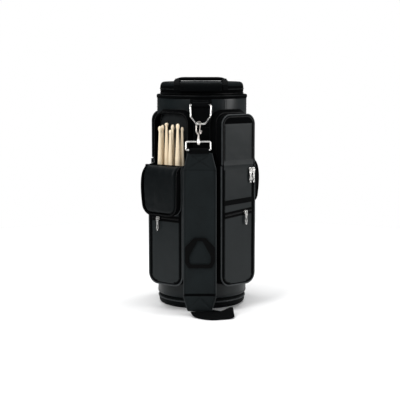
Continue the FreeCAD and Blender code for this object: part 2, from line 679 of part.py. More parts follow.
def make_hook():
    """Hook round the ring's lower bar, with a stem that turns in the swivel loop's barrel."""
    bar_drop = RING_DROP
    centre_drop = bar_drop - RING_WIRE - 0.5 - HOOK_WIRE + HOOK_R
    left = HOOK_X - HOOK_R
    shank = [hanging(HOOK_X, LOOP_TOP_DROP - 7), hanging(HOOK_X, 78), hanging(left, 68), hanging(left, centre_drop)]
    shank_path = rounded_path(shank, 6.0)
    tip_angle = math.radians(35)
    tip = hanging(HOOK_X + HOOK_R * math.cos(tip_angle), centre_drop - HOOK_R * math.sin(tip_angle))
    bow = Part.Arc(hanging(left, centre_drop), hanging(HOOK_X, centre_drop - HOOK_R), tip).toShape()
    wire = rod(Part.Wire(shank_path.Edges + [bow]), HOOK_WIRE)
    stem = Part.makeCylinder(STEM_R, 18, hanging(HOOK_X, LOOP_TOP_DROP + 7))
    collar = Part.makeCylinder(3.4, 4.0, hanging(HOOK_X, LOOP_TOP_DROP - 4.9))
    head = Part.makeCylinder(3.4, 2.4, hanging(HOOK_X, LOOP_TOP_DROP + 7.3))
    pivot = hanging(HOOK_X + GATE_X, GATE_DROP)
    lug = block(pivot.x - 5.5, pivot.x + 2.2, RING_Y + 1.7, RING_Y + 3.2, pivot.z - 3, pivot.z + 3)
    pin = Part.makeCylinder(GATE_PIN_R, 5.0, V(pivot.x, RING_Y - 2.0, pivot.z), Y_AXIS)
    hook = wire.fuse([stem, collar, head, lug, pin]).removeSplitter()
    keep("snap_hook", hook_frame(hook))
    gate_end = hanging(HOOK_X + 7.6, centre_drop - 1.0)
    along = gate_end - pivot
    bar = Part.makeCylinder(1.4, along.Length, pivot, along)
    eye = Part.makeCylinder(2.6, 3.0, V(pivot.x, RING_Y - 1.5, pivot.z), Y_AXIS)
    lever = Part.makeCylinder(1.1, 7.0, pivot, V(1, 0, 0.35))
    knob = Part.makeSphere(2.4, V(pivot.x + 7.0, RING_Y, pivot.z + 2.4))
    hole = Part.makeCylinder(GATE_PIN_R + RING_RUN, 8.0, V(pivot.x, RING_Y - 4.0, pivot.z), Y_AXIS)
    gate = bar.fuse([eye, lever, knob]).cut(hole)
    keep("hook_gate", hook_frame(largest(gate)))


def pad_lean():
    return math.degrees(math.atan2(PAD_TOP_Y - PAD_BOTTOM_Y, PAD_TOP_Z - PAD_BOTTOM_Z))


def on_pad(shape):
    """Move a piece drawn upright at the origin, with the pad's top at z = 0, to the leaning pad."""
    placed = turned(shape, ORIGIN, X_AXIS, -pad_lean())
    placed.translate(V(PAD_X, PAD_TOP_Y, PAD_TOP_Z))
    return placed


def strap_fold():
    """Webbing folded round the lower bar of the swivel loop, down to the top of the pad."""
    drop = LOOP_TOP_DROP + LOOP_HEIGHT
    left = FOLD_X - FOLD_HALF
    right = FOLD_X + FOLD_HALF
    bar = Part.makeCylinder(FOLD_R, 2 * FOLD_HALF, hanging(left, drop), X_AXIS)
    hole = Part.makeCylinder(LOOP_WIRE + RING_RUN, 2 * FOLD_HALF, hanging(left, drop), X_AXIS)
    tail = block(left, right, PAD_TOP_Y - FOLD_TAIL / 2, PAD_TOP_Y + FOLD_TAIL / 2, PAD_TOP_Z + 0.5, PAD_TOP_Z + 7)
    return leaned(bar).fuse(tail).cut(leaned(hole)).removeSplitter()


def make_pad():
    length = math.hypot(PAD_TOP_Z - PAD_BOTTOM_Z, PAD_TOP_Y - PAD_BOTTOM_Y)
    right = [
        (PAD_END_HALF, 0), (PAD_HALF, -PAD_TAPER_TOP), (PAD_HALF, -length + PAD_TAPER_BOTTOM), (PAD_END_HALF, -length),
    ]
    left = [(-x, z) for x, z in reversed(right)]
    outline = polygon([V(x, -PAD_THICK / 2, z) for x, z in right + left])
    pad = Part.Face(outline).extrude(V(0, PAD_THICK, 0))
    pad = pad.makeFillet(3.5, pad.Edges)
    keep("shoulder_pad", on_pad(pad))
    front = -PAD_THICK / 2
    outer = [(-15, 0), (15, 0), (38, -24), (38, -60), (30, -76), (-30, -76), (-38, -60), (-38, -24)]
    inner = [(-6, -7), (6, -7), (27.5, -46), (27.5, -60), (22, -67), (-22, -67), (-27.5, -60), (-27.5, -46)]
    rings = []
    for corners, radius in ((outer, 6.0), (inner, 4.0)):
        points = [V(x, front, z - PAD_LOOP_DROP) for x, z in corners]
        rings.append(Part.Face(rounded_path(points, radius, closed=True)).extrude(V(0, -PAD_LOOP_THICK, 0)))
    keep("pad_loop", on_pad(rings[0].cut(rings[1])))
    keep("strap_fold", strap_fold())


def webbing_run(stations, thickness):
    """Webbing through stations, each the two points of its edges."""
    centres = [(left + right) * 0.5 for left, right in stations]
    sections = []
    for index, (left, right) in enumerate(stations):
        along = centres[min(index + 1, len(centres) - 1)] - centres[max(index - 1, 0)]
        normal = along.cross(right - left).normalize() * (thickness / 2)
        sections.append([right + normal, left + normal, left - normal, right - normal])
    faces = [Part.Face(polygon(sections[0])), Part.Face(polygon(sections[-1]))]
    for near, far in zip(sections, sections[1:]):
        for corner in range(4):
            following = (corner + 1) % 4
            faces.append(Part.makeRuledSurface(Part.makeLine(near[corner], near[following]),
                                               Part.makeLine(far[corner], far[following])))
    shell = Part.makeShell(faces)
    shell.sewShape()
    return Part.makeSolid(shell)


def make_lower_webbing():
    """Webbing from the pad's lower end, turned to the right on the floor, folded back on itself
    and led under the bag's edge up to the foot of the spine."""
    pad_end = [(V(-29, -188, 8), V(21, -188, 8))]
    turn_right = [
        (V(-22, -209, 5), V(26, -193, 9)), (V(-6, -226, 3), V(30, -194, 10)),
        (V(12, -237, 2), V(35, -194, 11)), (V(30, -241, 2), V(42, -193, 12)),
    ]
    top_layer = [(V(52, -236, 2), V(56, -188, 15)), (V(70, -229, 2.2), V(69, -183, 20))]
    fold_back = [(V(80, -221, 4.6), V(78, -176, 18)), (V(77, -211, 3.2), V(73, -164, 4))]
    floor_layer = [
        (V(54, -206, 2), V(66, -158, 2)), (V(24, -188, 2), V(53, -148, 2)),
        (V(-8, -160, 2), V(35, -135, 2)),
    ]
    spine_foot = [
        (V(-24, -130, 3.4), V(26, -130, 3.4)), (V(-28, -122.9, 12), V(22, -122.9, 12)),
        (V(-28, -122.4, 42), V(22, -122.4, 42)),
    ]
    stations = pad_end + turn_right + top_layer + fold_back + floor_layer + spine_foot
    keep("lower_webbing", webbing_run(stations, WEBBING - 0.4))


# ---------------------------------------------------------------- drum sticks

def stick(length, tip_length, tip_radius):
    """A stick standing on its butt: straight shaft, long taper, neck and rounded tip."""
    shoulder = length - STICK_TAPER
    neck = length - tip_length
    butt = 4.0
    bend = butt * (1 - math.sqrt(0.5))
    butt_arc = Part.Arc(V(STICK_R - butt, 0, 0), V(STICK_R - bend, 0, bend), V(STICK_R, 0, butt))
    tip = curve(V(NECK_R, 0, neck), V(tip_radius, 0, neck + tip_length / 3),
                V(tip_radius, 0, length), V(0, 0, length))
    edges = [
        Part.makeLine(ORIGIN, V(STICK_R - butt, 0, 0)), butt_arc.toShape(),
        Part.makeLine(V(STICK_R, 0, butt), V(STICK_R, 0, shoulder)),
        Part.makeLine(V(STICK_R, 0, shoulder), V(NECK_R, 0, neck)), tip,
        Part.makeLine(V(0, 0, length), ORIGIN),
    ]
    return revolved(edges)


def make_sticks():
    """Seven sticks in two rows: each has its row, a place across the pocket for its butt and for
    its tip, its length and the shape of its tip."""
    tips = {"round": (9.0, 6.2), "drop": (14.0, 5.6), "small": (10.0, 4.8)}
    layout = [
        (FRONT_ROW, -23.5, -25.3, 402, "drop"), (REAR_ROW, -30.5, -29.5, 404, "drop"),
        (REAR_ROW, -16.8, -16.0, 410, "round"), (FRONT_ROW, 10.0, 9.4, 394, "small"),
        (REAR_ROW, 3.0, 4.0, 406, "drop"), (FRONT_ROW, 31.0, 33.3, 410, "drop"),
        (REAR_ROW, 30.6, 35.0, 401, "small"),
    ]
    for index, (row, butt, tip, length, style) in enumerate(layout):
        low = V(butt, -row, STICK_FLOOR + STICK_RISE)
        lean = math.degrees(math.atan2(tip - butt, STICK_LENGTH - STICK_RISE))
        shape = turned(stick(length, *tips[style]), ORIGIN, Y_AXIS, lean)
        shape.translate(low)
        keep("stick_" + str(index + 1), turned(shape, ORIGIN, Z_AXIS, POCKETS["front_left"]["turn"]))


make_body()
make_base()
make_pockets()
make_piping()
make_rim_zip()
make_gusset_sliders()
make_lower_sliders()
make_lid()
make_lid_slider()
make_handles()
make_spine()
make_ring()
make_swivel_loop()
make_hook()
make_pad()
make_lower_webbing()
make_sticks()

os.makedirs("parts", exist_ok=True)
for name, shape in nodes.items():
    shape.exportStep("parts/" + name + ".step")
    print(name, len(shape.Solids), "valid" if shape.isValid() else "INVALID", round(shape.Volume))
print(len(nodes), "nodes")
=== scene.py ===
import math

import bmesh
import bpy
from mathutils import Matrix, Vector, noise


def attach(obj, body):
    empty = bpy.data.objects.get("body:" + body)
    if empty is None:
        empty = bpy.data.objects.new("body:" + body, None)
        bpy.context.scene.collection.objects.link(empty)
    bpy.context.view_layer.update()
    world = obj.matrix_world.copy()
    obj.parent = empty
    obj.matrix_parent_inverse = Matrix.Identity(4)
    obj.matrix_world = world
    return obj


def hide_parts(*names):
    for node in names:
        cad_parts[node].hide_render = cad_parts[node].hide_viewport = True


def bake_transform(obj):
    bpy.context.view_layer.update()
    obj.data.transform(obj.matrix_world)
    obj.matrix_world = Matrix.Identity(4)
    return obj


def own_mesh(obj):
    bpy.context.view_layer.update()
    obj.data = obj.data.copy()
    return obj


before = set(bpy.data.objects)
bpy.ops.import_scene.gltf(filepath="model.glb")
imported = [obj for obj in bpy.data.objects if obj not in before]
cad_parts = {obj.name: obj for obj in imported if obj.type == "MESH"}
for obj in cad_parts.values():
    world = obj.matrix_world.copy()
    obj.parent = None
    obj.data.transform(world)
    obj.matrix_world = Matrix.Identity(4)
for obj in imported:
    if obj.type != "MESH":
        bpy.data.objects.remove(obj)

# A standing drum stick bag. Shapes are given in millimetres and turned to metres when a mesh is
# made. A pocket's own frame is (u across, n outward from the tube's axis, z up).

MM = 0.001
LATHE_SEGMENTS = 144
CORD_SIDES = 10
TURNS = {"front_left": -38.0, "front_right": 38.0, "rear_right": 142.0, "rear_left": -142.0}
OPEN_FLAPS = ("front_left", "rear_right")

BODY_R = 117.5
PANEL_SEAMS = (31.0, 92.0, -92.0, 180.0)
BODY_LOW = 28.0
RIM_Z = 547.0
BASE_R = 113.6
BASE_CORNER = 9.6
BASE_WALL = 6.0

POCKET_HALF = 56.0
POCKET_LOW = 66.0
POCKET_HIGH = 508.0
POCKET_CORNER = 28.0
POCKET_FRONT = 151.0
FOLD_Z = 375.0
ZIP_DEPTH = 127.6
EDGE = 6.0
BORDER = 11.0
LOW_BORDER = 5.5
POCKET_OUTLINE = (POCKET_HALF, FOLD_Z, POCKET_LOW, POCKET_CORNER)

FLAP_HALF = 54.0
FLAP_LOW = 376.3
FLAP_HIGH = 503.5
FLAP_CORNER = 26.0
FLAP_BACK = 131.0
FLAP_BORDER = 9.5
FLAP_TOP_BORDER = 24.0
FLAP_OUTLINE = (FLAP_HALF, FLAP_LOW, FLAP_HIGH, FLAP_CORNER)
LINING_FULL = 19.0
FOLD_N = 152.2
FOLD_AXIS_Z = 375.5
GUSSET_LIFT = 6.0

LID_R = 108.2
LID_LOW = 551.6
LID_SEAM = 565.0
LID_TOP = 583.0
LID_SHOULDER = 10.0
LID_WALL = 3.9
LID_TOP_SEAM = 88.0

HANDLE_X = -2.5
HANDLE_SPREAD = 61.0
HANDLE_SIDES = (HANDLE_X - HANDLE_SPREAD, HANDLE_X + HANDLE_SPREAD)
STRAP_WIDTH = 14.0

RING_Y = -123.4
RING_Z = 527.0
STRAP_LEAN = 17.0

GRIP_Y = -121.6
GRIP_Z = 571.5
GRIP_HALF = 53.0
REAR_BAR_Y = 14.0
REAR_BAR_HALF = 67.5

SPINE_R = 119.9

PAD_X = -5.0
PAD_TOP = (-156.5, 409.0)
PAD_BOTTOM = (-186.0, 11.0)
PAD_HALF = 42.0
PAD_END_HALF = 31.0
PAD_TAPER_TOP = 43.0
PAD_TAPER_BOTTOM = 36.0
PAD_LENGTH = math.hypot(PAD_TOP[0] - PAD_BOTTOM[0], PAD_TOP[1] - PAD_BOTTOM[1])
PAD_LOW_SEAM = PAD_LENGTH - PAD_TAPER_BOTTOM - 6

# Stitches and zip teeth: size along the path, across it and out of the surface, then the pitch
STITCH = (2.6, 0.6, 0.5)
STITCH_PITCH = 4.0
TOOTH_PITCH = 2.2


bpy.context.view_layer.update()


# ---------------------------------------------------------------- points and paths

def at(turn, u, n, z):
    """A point of a pocket's own frame, in the bag's frame."""
    angle = math.radians(turn)
    return Vector((u * math.cos(angle) + n * math.sin(angle), u * math.sin(angle) - n * math.cos(angle), z))


def wave(point, size, seed=0.0):
    """Smooth noise from -1 to 1 with bumps about `size` millimetres wide."""
    return noise.noise(Vector(point) / size + Vector((seed, seed * 1.7, seed * 0.3)))


def clamp(value):
    return min(1.0, max(0.0, value))


def corner_loss(radius, into):
    """How much narrower a rounded outline is at a depth `into` its corner."""
    return radius - math.sqrt(max(0.0, radius ** 2 - into ** 2))


def spread(start, end, count):
    """Evenly spaced numbers, both ends included."""
    return [start + (end - start) * index / (count - 1) for index in range(count)]


def arc(centre, radius, start, end, count):
    """Points (a, b) of an arc, angles in degrees."""
    angles = [math.radians(angle) for angle in spread(start, end, count)]
    return [(centre[0] + radius * math.cos(a), centre[1] + radius * math.sin(a)) for a in angles]


def smooth_path(points, steps=8):
    """Catmull-Rom curve through points."""
    result = []
    last = len(points) - 1
    for index in range(last):
        before = Vector(points[max(index - 1, 0)])
        start = Vector(points[index])
        end = Vector(points[index + 1])
        after = Vector(points[min(index + 2, last)])
        for step in range(steps):
            t = step / steps
            result.append(0.5 * (2 * start + (end - before) * t
                                 + (2 * before - 5 * start + 4 * end - after) * t * t
                                 + (3 * start - before - 3 * end + after) * t ** 3))
    result.append(Vector(points[-1]))
    return result


def evenly(points, pitch):
    """Places at an even pitch along a path, each with its direction."""
    places = []
    carried = pitch / 2
    for start, end in zip(points, points[1:]):
        start, end = Vector(start), Vector(end)
        length = (end - start).length
        if length < 1e-9:
            continue
        along = (end - start) / length
        while carried <= length:
            places.append((start + along * carried, along))
            carried += pitch
        carried -= length
    return places


def u_path(half, open_z, closed_z, radius):
    """(u, z) points down one side, round the closed end and back, always the same number of them."""
    side = math.copysign(1, closed_z - open_z)
    turn_z = closed_z - side * radius
    corner = half - radius
    points = [(-half, z) for z in spread(open_z, turn_z, 26)[:-1]]
    points += arc((-corner, turn_z), radius, 180, 180 - 90 * side, 12)[:-1]
    points += [(u, closed_z) for u in spread(-corner, corner, 26)[:-1]]
    points += arc((corner, turn_z), radius, 90 * side, 0, 12)[:-1]
    points += [(half, z) for z in spread(turn_z, open_z, 26)]
    return points


# ---------------------------------------------------------------- meshes

def piece(name, points, faces, uvs, materials, face_slots=None, sharp=50.0):
    """Mesh object from points in millimetres, faces and one UV in metres per point."""
    mesh = bpy.data.meshes.new(name)
    mesh.from_pydata([tuple(value * MM for value in point) for point in points], [], faces)
    layer = mesh.uv_layers.new(name="UV")
    for loop in mesh.loops:
        layer.data[loop.index].uv = uvs[loop.vertex_index]
    for material in materials:
        mesh.materials.append(material)
    if face_slots:
        for polygon, index in zip(mesh.polygons, face_slots):
            polygon.material_index = index
    work = bmesh.new()
    work.from_mesh(mesh)
    bmesh.ops.remove_doubles(work, verts=work.verts, dist=0.00001)
    bmesh.ops.recalc_face_normals(work, faces=work.faces)
    work.to_mesh(mesh)
    work.free()
    mesh.shade_smooth()
    mesh.set_sharp_from_angle(angle=math.radians(sharp))
    made = bpy.data.objects.new(name, mesh)
    bpy.context.collection.objects.link(made)
    return made


def settle(made, body=None, nodes=()):
    """Ride a body and stand for CAD nodes."""
    if body:
        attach(made, body)
    if nodes:
        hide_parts(*nodes)
    return made


def running(points):
    """Distance along a row of points, in metres."""
    total = [0.0]
    for start, end in zip(points, points[1:]):
        total.append(total[-1] + (Vector(end) - Vector(start)).length * MM)
    return total


def grid_faces(rows, columns, start=0):
    return [(start + row * columns + column, start + row * columns + column + 1,
             start + (row + 1) * columns + column + 1, start + (row + 1) * columns + column)
            for row in range(rows - 1) for column in range(columns - 1)]


def grid_uvs(rows):
    """One UV in metres per point, measured along the middle row and the middle column."""
    middle = len(rows) // 2
    across = running(rows[middle])
    column = len(rows[0]) // 2
    along = running([row[column] for row in rows])
    return [(u, v) for v in along for u in across]


def slab(name, outer, inner, materials, ring=False, choose=None, sharp=50.0):
    """Closed sheet between two grids of points. ring joins each row's ends; choose gives the
    material of an outer face from its row and column."""
    if ring:
        outer = [row + [row[0]] for row in outer]
        inner = [row + [row[0]] for row in inner]
    rows = len(outer)
    columns = len(outer[0])
    count = rows * columns
    points = [point for grid in (outer, inner) for row in grid for point in row]
    uvs = grid_uvs(outer) * 2
    faces = grid_faces(rows, columns) + grid_faces(rows, columns, count)
    slots = []
    if choose:
        slots = [choose(row, column) for row in range(rows - 1) for column in range(columns - 1)]
    slots += [0] * (len(faces) - len(slots))
    for column in range(columns - 1):
        for start in (column, (rows - 1) * columns + column):
            faces.append((start, start + 1, start + 1 + count, start + count))
    if not ring:
        for row in range(rows - 1):
            for start in (row * columns, row * columns + columns - 1):
                faces.append((start, start + columns, start + columns + count, start + count))
    slots += [0] * (len(faces) - len(slots))
    return piece(name, points, faces, uvs, materials, slots, sharp)


def loft(name, rows, materials, capped=True, sharp=50.0):
    """Solid through closed sections, with flat ends if capped."""
    rows = [row + [row[0]] for row in rows]
    columns = len(rows[0])
    points = [point for row in rows for point in row]
    faces = grid_faces(len(rows), columns)
    if capped:
        faces.append(tuple(range(columns - 1)))
        last = (len(rows) - 1) * columns
        faces.append(tuple(last + index for index in range(columns - 1)))
    return piece(name, points, faces, grid_uvs(rows), materials, None, sharp)


def lathe(name, profile, materials, dent=None, closed=True, choose=None):
    """Profile of (r, z) points turned about the bag's axis. dent moves a point inward."""
    rows = []
    for radius, z in profile:
        row = []
        for index in range(LATHE_SEGMENTS):
            angle = 2 * math.pi * index / LATHE_SEGMENTS
            point = Vector((radius * math.sin(angle), -radius * math.cos(angle), z))
            if dent and radius > 1:
                shorter = (radius - dent(point)) / radius
                point = Vector((point.x * shorter, point.y * shorter, point.z))
            row.append(point)
        rows.append(row + [row[0]])
    if closed:
        rows.append(rows[0])
    points = [point for row in rows for point in row]
    faces = grid_faces(len(rows), LATHE_SEGMENTS + 1)
    slots = None
    if choose:
        slots = [choose(row, column) for row in range(len(rows) - 1) for column in range(LATHE_SEGMENTS)]
    return piece(name, points, faces, grid_uvs(rows), materials, slots)


def cord_mesh(name, path, radius, materials, closed=False):
    """Round bead along a path."""
    path = [Vector(point) for point in path]
    count = len(path)
    side = None
    rows = []
    for index, point in enumerate(path):
        before = path[index - 1] if index or closed else point
        after = path[(index + 1) % count] if index < count - 1 or closed else point
        along = (after - before).normalized()
        if side is None:
            side = along.orthogonal().normalized()
        side = (side - along * side.dot(along)).normalized()
        up = along.cross(side)
        rows.append([point + (side * math.cos(a) + up * math.sin(a)) * radius
                     for a in (2 * math.pi * step / CORD_SIDES for step in range(CORD_SIDES))])
    if closed:
        rows.append(rows[0])
    return loft(name, rows, materials, capped=not closed, sharp=60.0)


def ribbon(name, stations, thickness, materials, steps=8, columns=15):
    """Webbing through stations, each the two points of its edges, with soft selvedges."""
    left = smooth_path([station[0] for station in stations], steps)
    right = smooth_path([station[1] for station in stations], steps)
    top = []
    bottom = []
    last = len(left) - 1
    for index, (a, b) in enumerate(zip(left, right)):
        before = (left[max(index - 1, 0)] + right[max(index - 1, 0)]) / 2
        after = (left[min(index + 1, last)] + right[min(index + 1, last)]) / 2
        width = (b - a).length
        normal = (after - before).cross(b - a).normalized()
        upper = []
        lower = []
        for t in spread(0, 1, columns):
            edge = min(t, 1 - t) * width
            soft = math.sqrt(max(0.08, 1 - max(0.0, 1 - edge / 1.2) ** 2))
            middle = a.lerp(b, t)
            upper.append(middle + normal * thickness / 2 * soft)
            lower.append(middle - normal * thickness / 2 * soft)
        top.append(upper)
        bottom.append(lower)
    return slab(name, top, bottom, materials, sharp=60.0)


def marks(name, paths, size, pitch, materials, rise=0.0):
    """Small blocks at an even pitch along paths of (points, outward normal): stitches or teeth.
    size is along the path, across it and out of the surface."""
    points = []
    faces = []
    uvs = []
    half = [value / 2 for value in size]
    for path, normal in paths:
        for place, along in evenly(path, pitch):
            out = normal(place) if callable(normal) else Vector(normal)
            out = (out - along * out.dot(along)).normalized()
            across = along.cross(out)
            start = len(points)
            for k, narrow in ((-1, 1.0), (1, 0.72)):
                for i, j in ((-1, -1), (1, -1), (1, 1), (-1, 1)):
                    points.append(place + out * (rise + k * half[2]) + along * (i * half[0] * narrow)
                                  + across * (j * half[1] * narrow))
                    uvs.append(((i + 1) * half[0] * MM, (j + 1) * half[1] * MM))
            faces += [tuple(start + corner for corner in face) for face in
                      ((3, 2, 1, 0), (4, 5, 6, 7), (0, 1, 5, 4), (1, 2, 6, 5), (2, 3, 7, 6), (3, 0, 4, 7))]
    return piece(name, points, faces, uvs, materials, None, 30.0)


# ---------------------------------------------------------------- materials

class Graph:
    """Wires one material's nodes."""

    def __init__(self, name, roughness, specular, metallic=0.0):
        self.material = bpy.data.materials.new(name)
        self.material.use_nodes = True
        self.tree = self.material.node_tree
        self.shader = self.tree.nodes["Principled BSDF"]
        self.shader.inputs["Roughness"].default_value = roughness
        self.shader.inputs["Specular IOR Level"].default_value = specular
        self.shader.inputs["Metallic"].default_value = metallic

    def add(self, kind, inputs=None, **settings):
        """New node with values on its sockets and settings on itself."""
        node = self.tree.nodes.new(kind)
        for key, value in settings.items():
            setattr(node, key, value)
        for key, value in (inputs or {}).items():
            node.inputs[key].default_value = value
        return node

    def join(self, out, into):
        self.tree.links.new(out, into)

    def place(self, uv=True, stretch=(1, 1, 1), turn=0.0):
        coordinates = self.add("ShaderNodeTexCoord")
        mapping = self.add("ShaderNodeMapping", {"Scale": stretch, "Rotation": (0, 0, math.radians(turn))})
        self.join(coordinates.outputs["UV" if uv else "Object"], mapping.inputs["Vector"])
        return mapping.outputs["Vector"]

    def ramp(self, factor, stops):
        node = self.add("ShaderNodeValToRGB")
        ramp = node.color_ramp
        while len(ramp.elements) < len(stops):
            ramp.elements.new(0.5)
        for element, (position, colour) in zip(ramp.elements, stops):
            element.position = position
            element.color = (*colour, 1)
        self.join(factor, node.inputs["Fac"])
        return node.outputs["Color"]

    def spread(self, factor, low, high):
        node = self.add("ShaderNodeMapRange", {"To Min": low, "To Max": high})
        self.join(factor, node.inputs["Value"])
        return node.outputs["Result"]

    def bump(self, height, distance, strength, over=None):
        node = self.add("ShaderNodeBump", {"Distance": distance, "Strength": strength})
        self.join(height, node.inputs["Height"])
        if over:
            self.join(over, node.inputs["Normal"])
        return node.outputs["Normal"]

    def noise(self, vector, scale, detail=4.0, roughness=0.55):
        node = self.add("ShaderNodeTexNoise", {"Scale": scale, "Detail": detail, "Roughness": roughness})
        self.join(vector, node.inputs["Vector"])
        return node.outputs["Fac"]

    def bands(self, vector, period, direction, distortion):
        """Threads at a period in metres. A wave texture of scale 1 repeats every 0.314 m."""
        node = self.add("ShaderNodeTexWave", {"Scale": 0.314 / period, "Distortion": distortion},
                        bands_direction=direction)
        self.join(vector, node.inputs["Vector"])
        return node.outputs["Fac"]

    def math(self, operation, a, b):
        node = self.add("ShaderNodeMath", operation=operation)
        for socket, value in zip(node.inputs, (a, b)):
            if isinstance(value, float):
                socket.default_value = value
            else:
                self.join(value, socket)
        return node.outputs["Value"]

    def blend(self, a, share_a, b, share_b):
        """Weighted sum of two values."""
        return self.math("ADD", self.math("MULTIPLY", a, share_a), self.math("MULTIPLY", b, share_b))

    def feed(self, socket, out):
        self.join(out, self.shader.inputs[socket])


def tint(colour, factor):
    return tuple(value * factor for value in colour)


def cloth(name, colour, period, roughness, specular, bump=0.00012, uv=True):
    """Plain-woven nylon: two crossing threads, uneven dye and a little wear."""
    graph = Graph(name, roughness, specular)
    where = graph.place(uv)
    warp = graph.bands(where, period, "X", 0.6)
    weft = graph.bands(where, period, "Y" if uv else "Z", 0.6)
    threads = graph.math("MULTIPLY", warp, weft)
    patches = graph.noise(where, 18.0)
    shade = graph.blend(threads, 0.35, patches, 0.65)
    graph.feed("Base Color", graph.ramp(shade, [(0.2, tint(colour, 0.6)), (0.75, tint(colour, 1.35))]))
    graph.feed("Roughness", graph.spread(patches, roughness - 0.1, roughness + 0.12))
    creases = graph.bump(graph.noise(where, 30.0, 3.0), 0.0012, 0.5)
    graph.feed("Normal", graph.bump(threads, bump, 0.8, creases))
    return graph.material


def vinyl(name, colour, roughness, specular):
    """Coated fabric with a fine pebbled grain, faint scuffs and soft creases."""
    grain = 0.0011
    graph = Graph(name, roughness, specular)
    where = graph.place()
    cells = graph.add("ShaderNodeTexVoronoi", {"Scale": 1 / grain}, feature="SMOOTH_F1")
    graph.join(where, cells.inputs["Vector"])
    patches = graph.noise(where, 9.0, 5.0)
    scuffs = graph.noise(graph.place(stretch=(30, 140, 60), turn=12), 3.0, 6.0, 0.7)
    shade = graph.blend(patches, 0.7, scuffs, 0.3)
    graph.feed("Base Color", graph.ramp(shade, [(0.3, tint(colour, 0.75)), (0.7, tint(colour, 1.25))]))
    graph.feed("Roughness", graph.spread(shade, roughness - 0.07, roughness + 0.1))
    soft = graph.bump(graph.noise(where, 14.0, 2.0), 0.004, 0.35)
    graph.feed("Normal", graph.bump(cells.outputs["Distance"], 0.00007, 0.5, soft))
    return graph.material


def webbing(name, colour, direction, period, roughness):
    """Ribbed woven tape: cross ribs and fine lengthways threads."""
    graph = Graph(name, roughness, 0.05)
    where = graph.place()
    other = "X" if direction == "Y" else "Y"
    ribs = graph.bands(where, period, direction, 0.3)
    threads = graph.bands(where, period * 0.45, other, 0.8)
    height = graph.blend(ribs, 0.75, threads, 0.25)
    shade = graph.blend(height, 0.6, graph.noise(where, 40.0), 0.4)
    graph.feed("Base Color", graph.ramp(shade, [(0.2, tint(colour, 0.5)), (0.8, tint(colour, 1.5))]))
    graph.feed("Normal", graph.bump(height, 0.00025, 0.9))
    return graph.material


def smooth_trim(name, colour, roughness, specular):
    """Vinyl piping or moulded plastic: nearly smooth, with fine dimples."""
    graph = Graph(name, roughness, specular)
    where = graph.place(uv=False)
    patches = graph.noise(where, 60.0)
    graph.feed("Base Color", graph.ramp(patches, [(0.3, tint(colour, 0.8)), (0.7, tint(colour, 1.2))]))
    graph.feed("Roughness", graph.spread(patches, roughness - 0.08, roughness + 0.12))
    graph.feed("Normal", graph.bump(graph.noise(where, 900.0, 2.0), 0.0001, 0.4))
    return graph.material


def plated(name, colour, roughness):
    """Nickel plate with hairline scratches and slightly dull patches."""
    graph = Graph(name, roughness, 0.5, 1.0)
    where = graph.place(uv=False)
    dull = graph.noise(where, 120.0)
    lines = graph.noise(graph.place(uv=False, stretch=(900, 900, 90)), 1.0, 3.0, 0.7)
    graph.feed("Base Color", graph.ramp(dull, [(0.3, tint(colour, 0.72)), (0.7, colour)]))
    wear = graph.math("MULTIPLY", dull, lines)
    graph.feed("Roughness", graph.spread(wear, roughness - 0.05, roughness + 0.35))
    graph.feed("Normal", graph.bump(lines, 0.00003, 0.35))
    return graph.material


def lacquered_wood(name, colour, dark):
    """Pale hickory with long grain along the stick, fine pores and a thin lacquer."""
    graph = Graph(name, 0.38, 0.45)
    grain = graph.noise(graph.place(uv=False, stretch=(420, 420, 9)), 1.0, 6.0, 0.6)
    pores = graph.noise(graph.place(uv=False, stretch=(1900, 1900, 70)), 1.0, 2.0)
    broad = graph.noise(graph.place(uv=False, stretch=(60, 60, 4)), 1.0, 2.0)
    shade = graph.blend(grain, 0.55, broad, 0.45)
    graph.feed("Base Color", graph.ramp(shade, [(0.3, dark), (0.62, colour)]))
    graph.feed("Roughness", graph.spread(pores, 0.3, 0.5))
    graph.feed("Normal", graph.bump(pores, 0.00006, 0.4))
    graph.shader.inputs["Coat Weight"].default_value = 0.35
    graph.shader.inputs["Coat Roughness"].default_value = 0.2
    return graph.material


def floor_material():
    """White paper, very faintly uneven."""
    graph = Graph("floor_paper", 0.85, 0.1)
    patches = graph.noise(graph.place(uv=False), 3.0, 3.0)
    graph.feed("Base Color", graph.ramp(patches, [(0.3, (0.92, 0.92, 0.92)), (0.7, (0.94, 0.94, 0.94))]))
    return graph.material


# Colours and roughness are those of dark coated cloth, so most are close to black.
SLATE = vinyl("slate_vinyl", (0.0062, 0.0090, 0.0100), 0.38, 0.20)
# Darker copy of the slate vinyl: painted shade for the lining inside an open flap's tray.
SLATE_PAINTED_SHADE = vinyl("slate_vinyl_painted_shade", (0.0034, 0.0048, 0.0054), 0.46, 0.10)
# Lighter copy of the slate vinyl: a painted highlight on the tube's upper right.
SLATE_PAINTED_SHEEN = vinyl("slate_vinyl_painted_sheen", (0.0180, 0.0210, 0.0220), 0.34, 0.34)
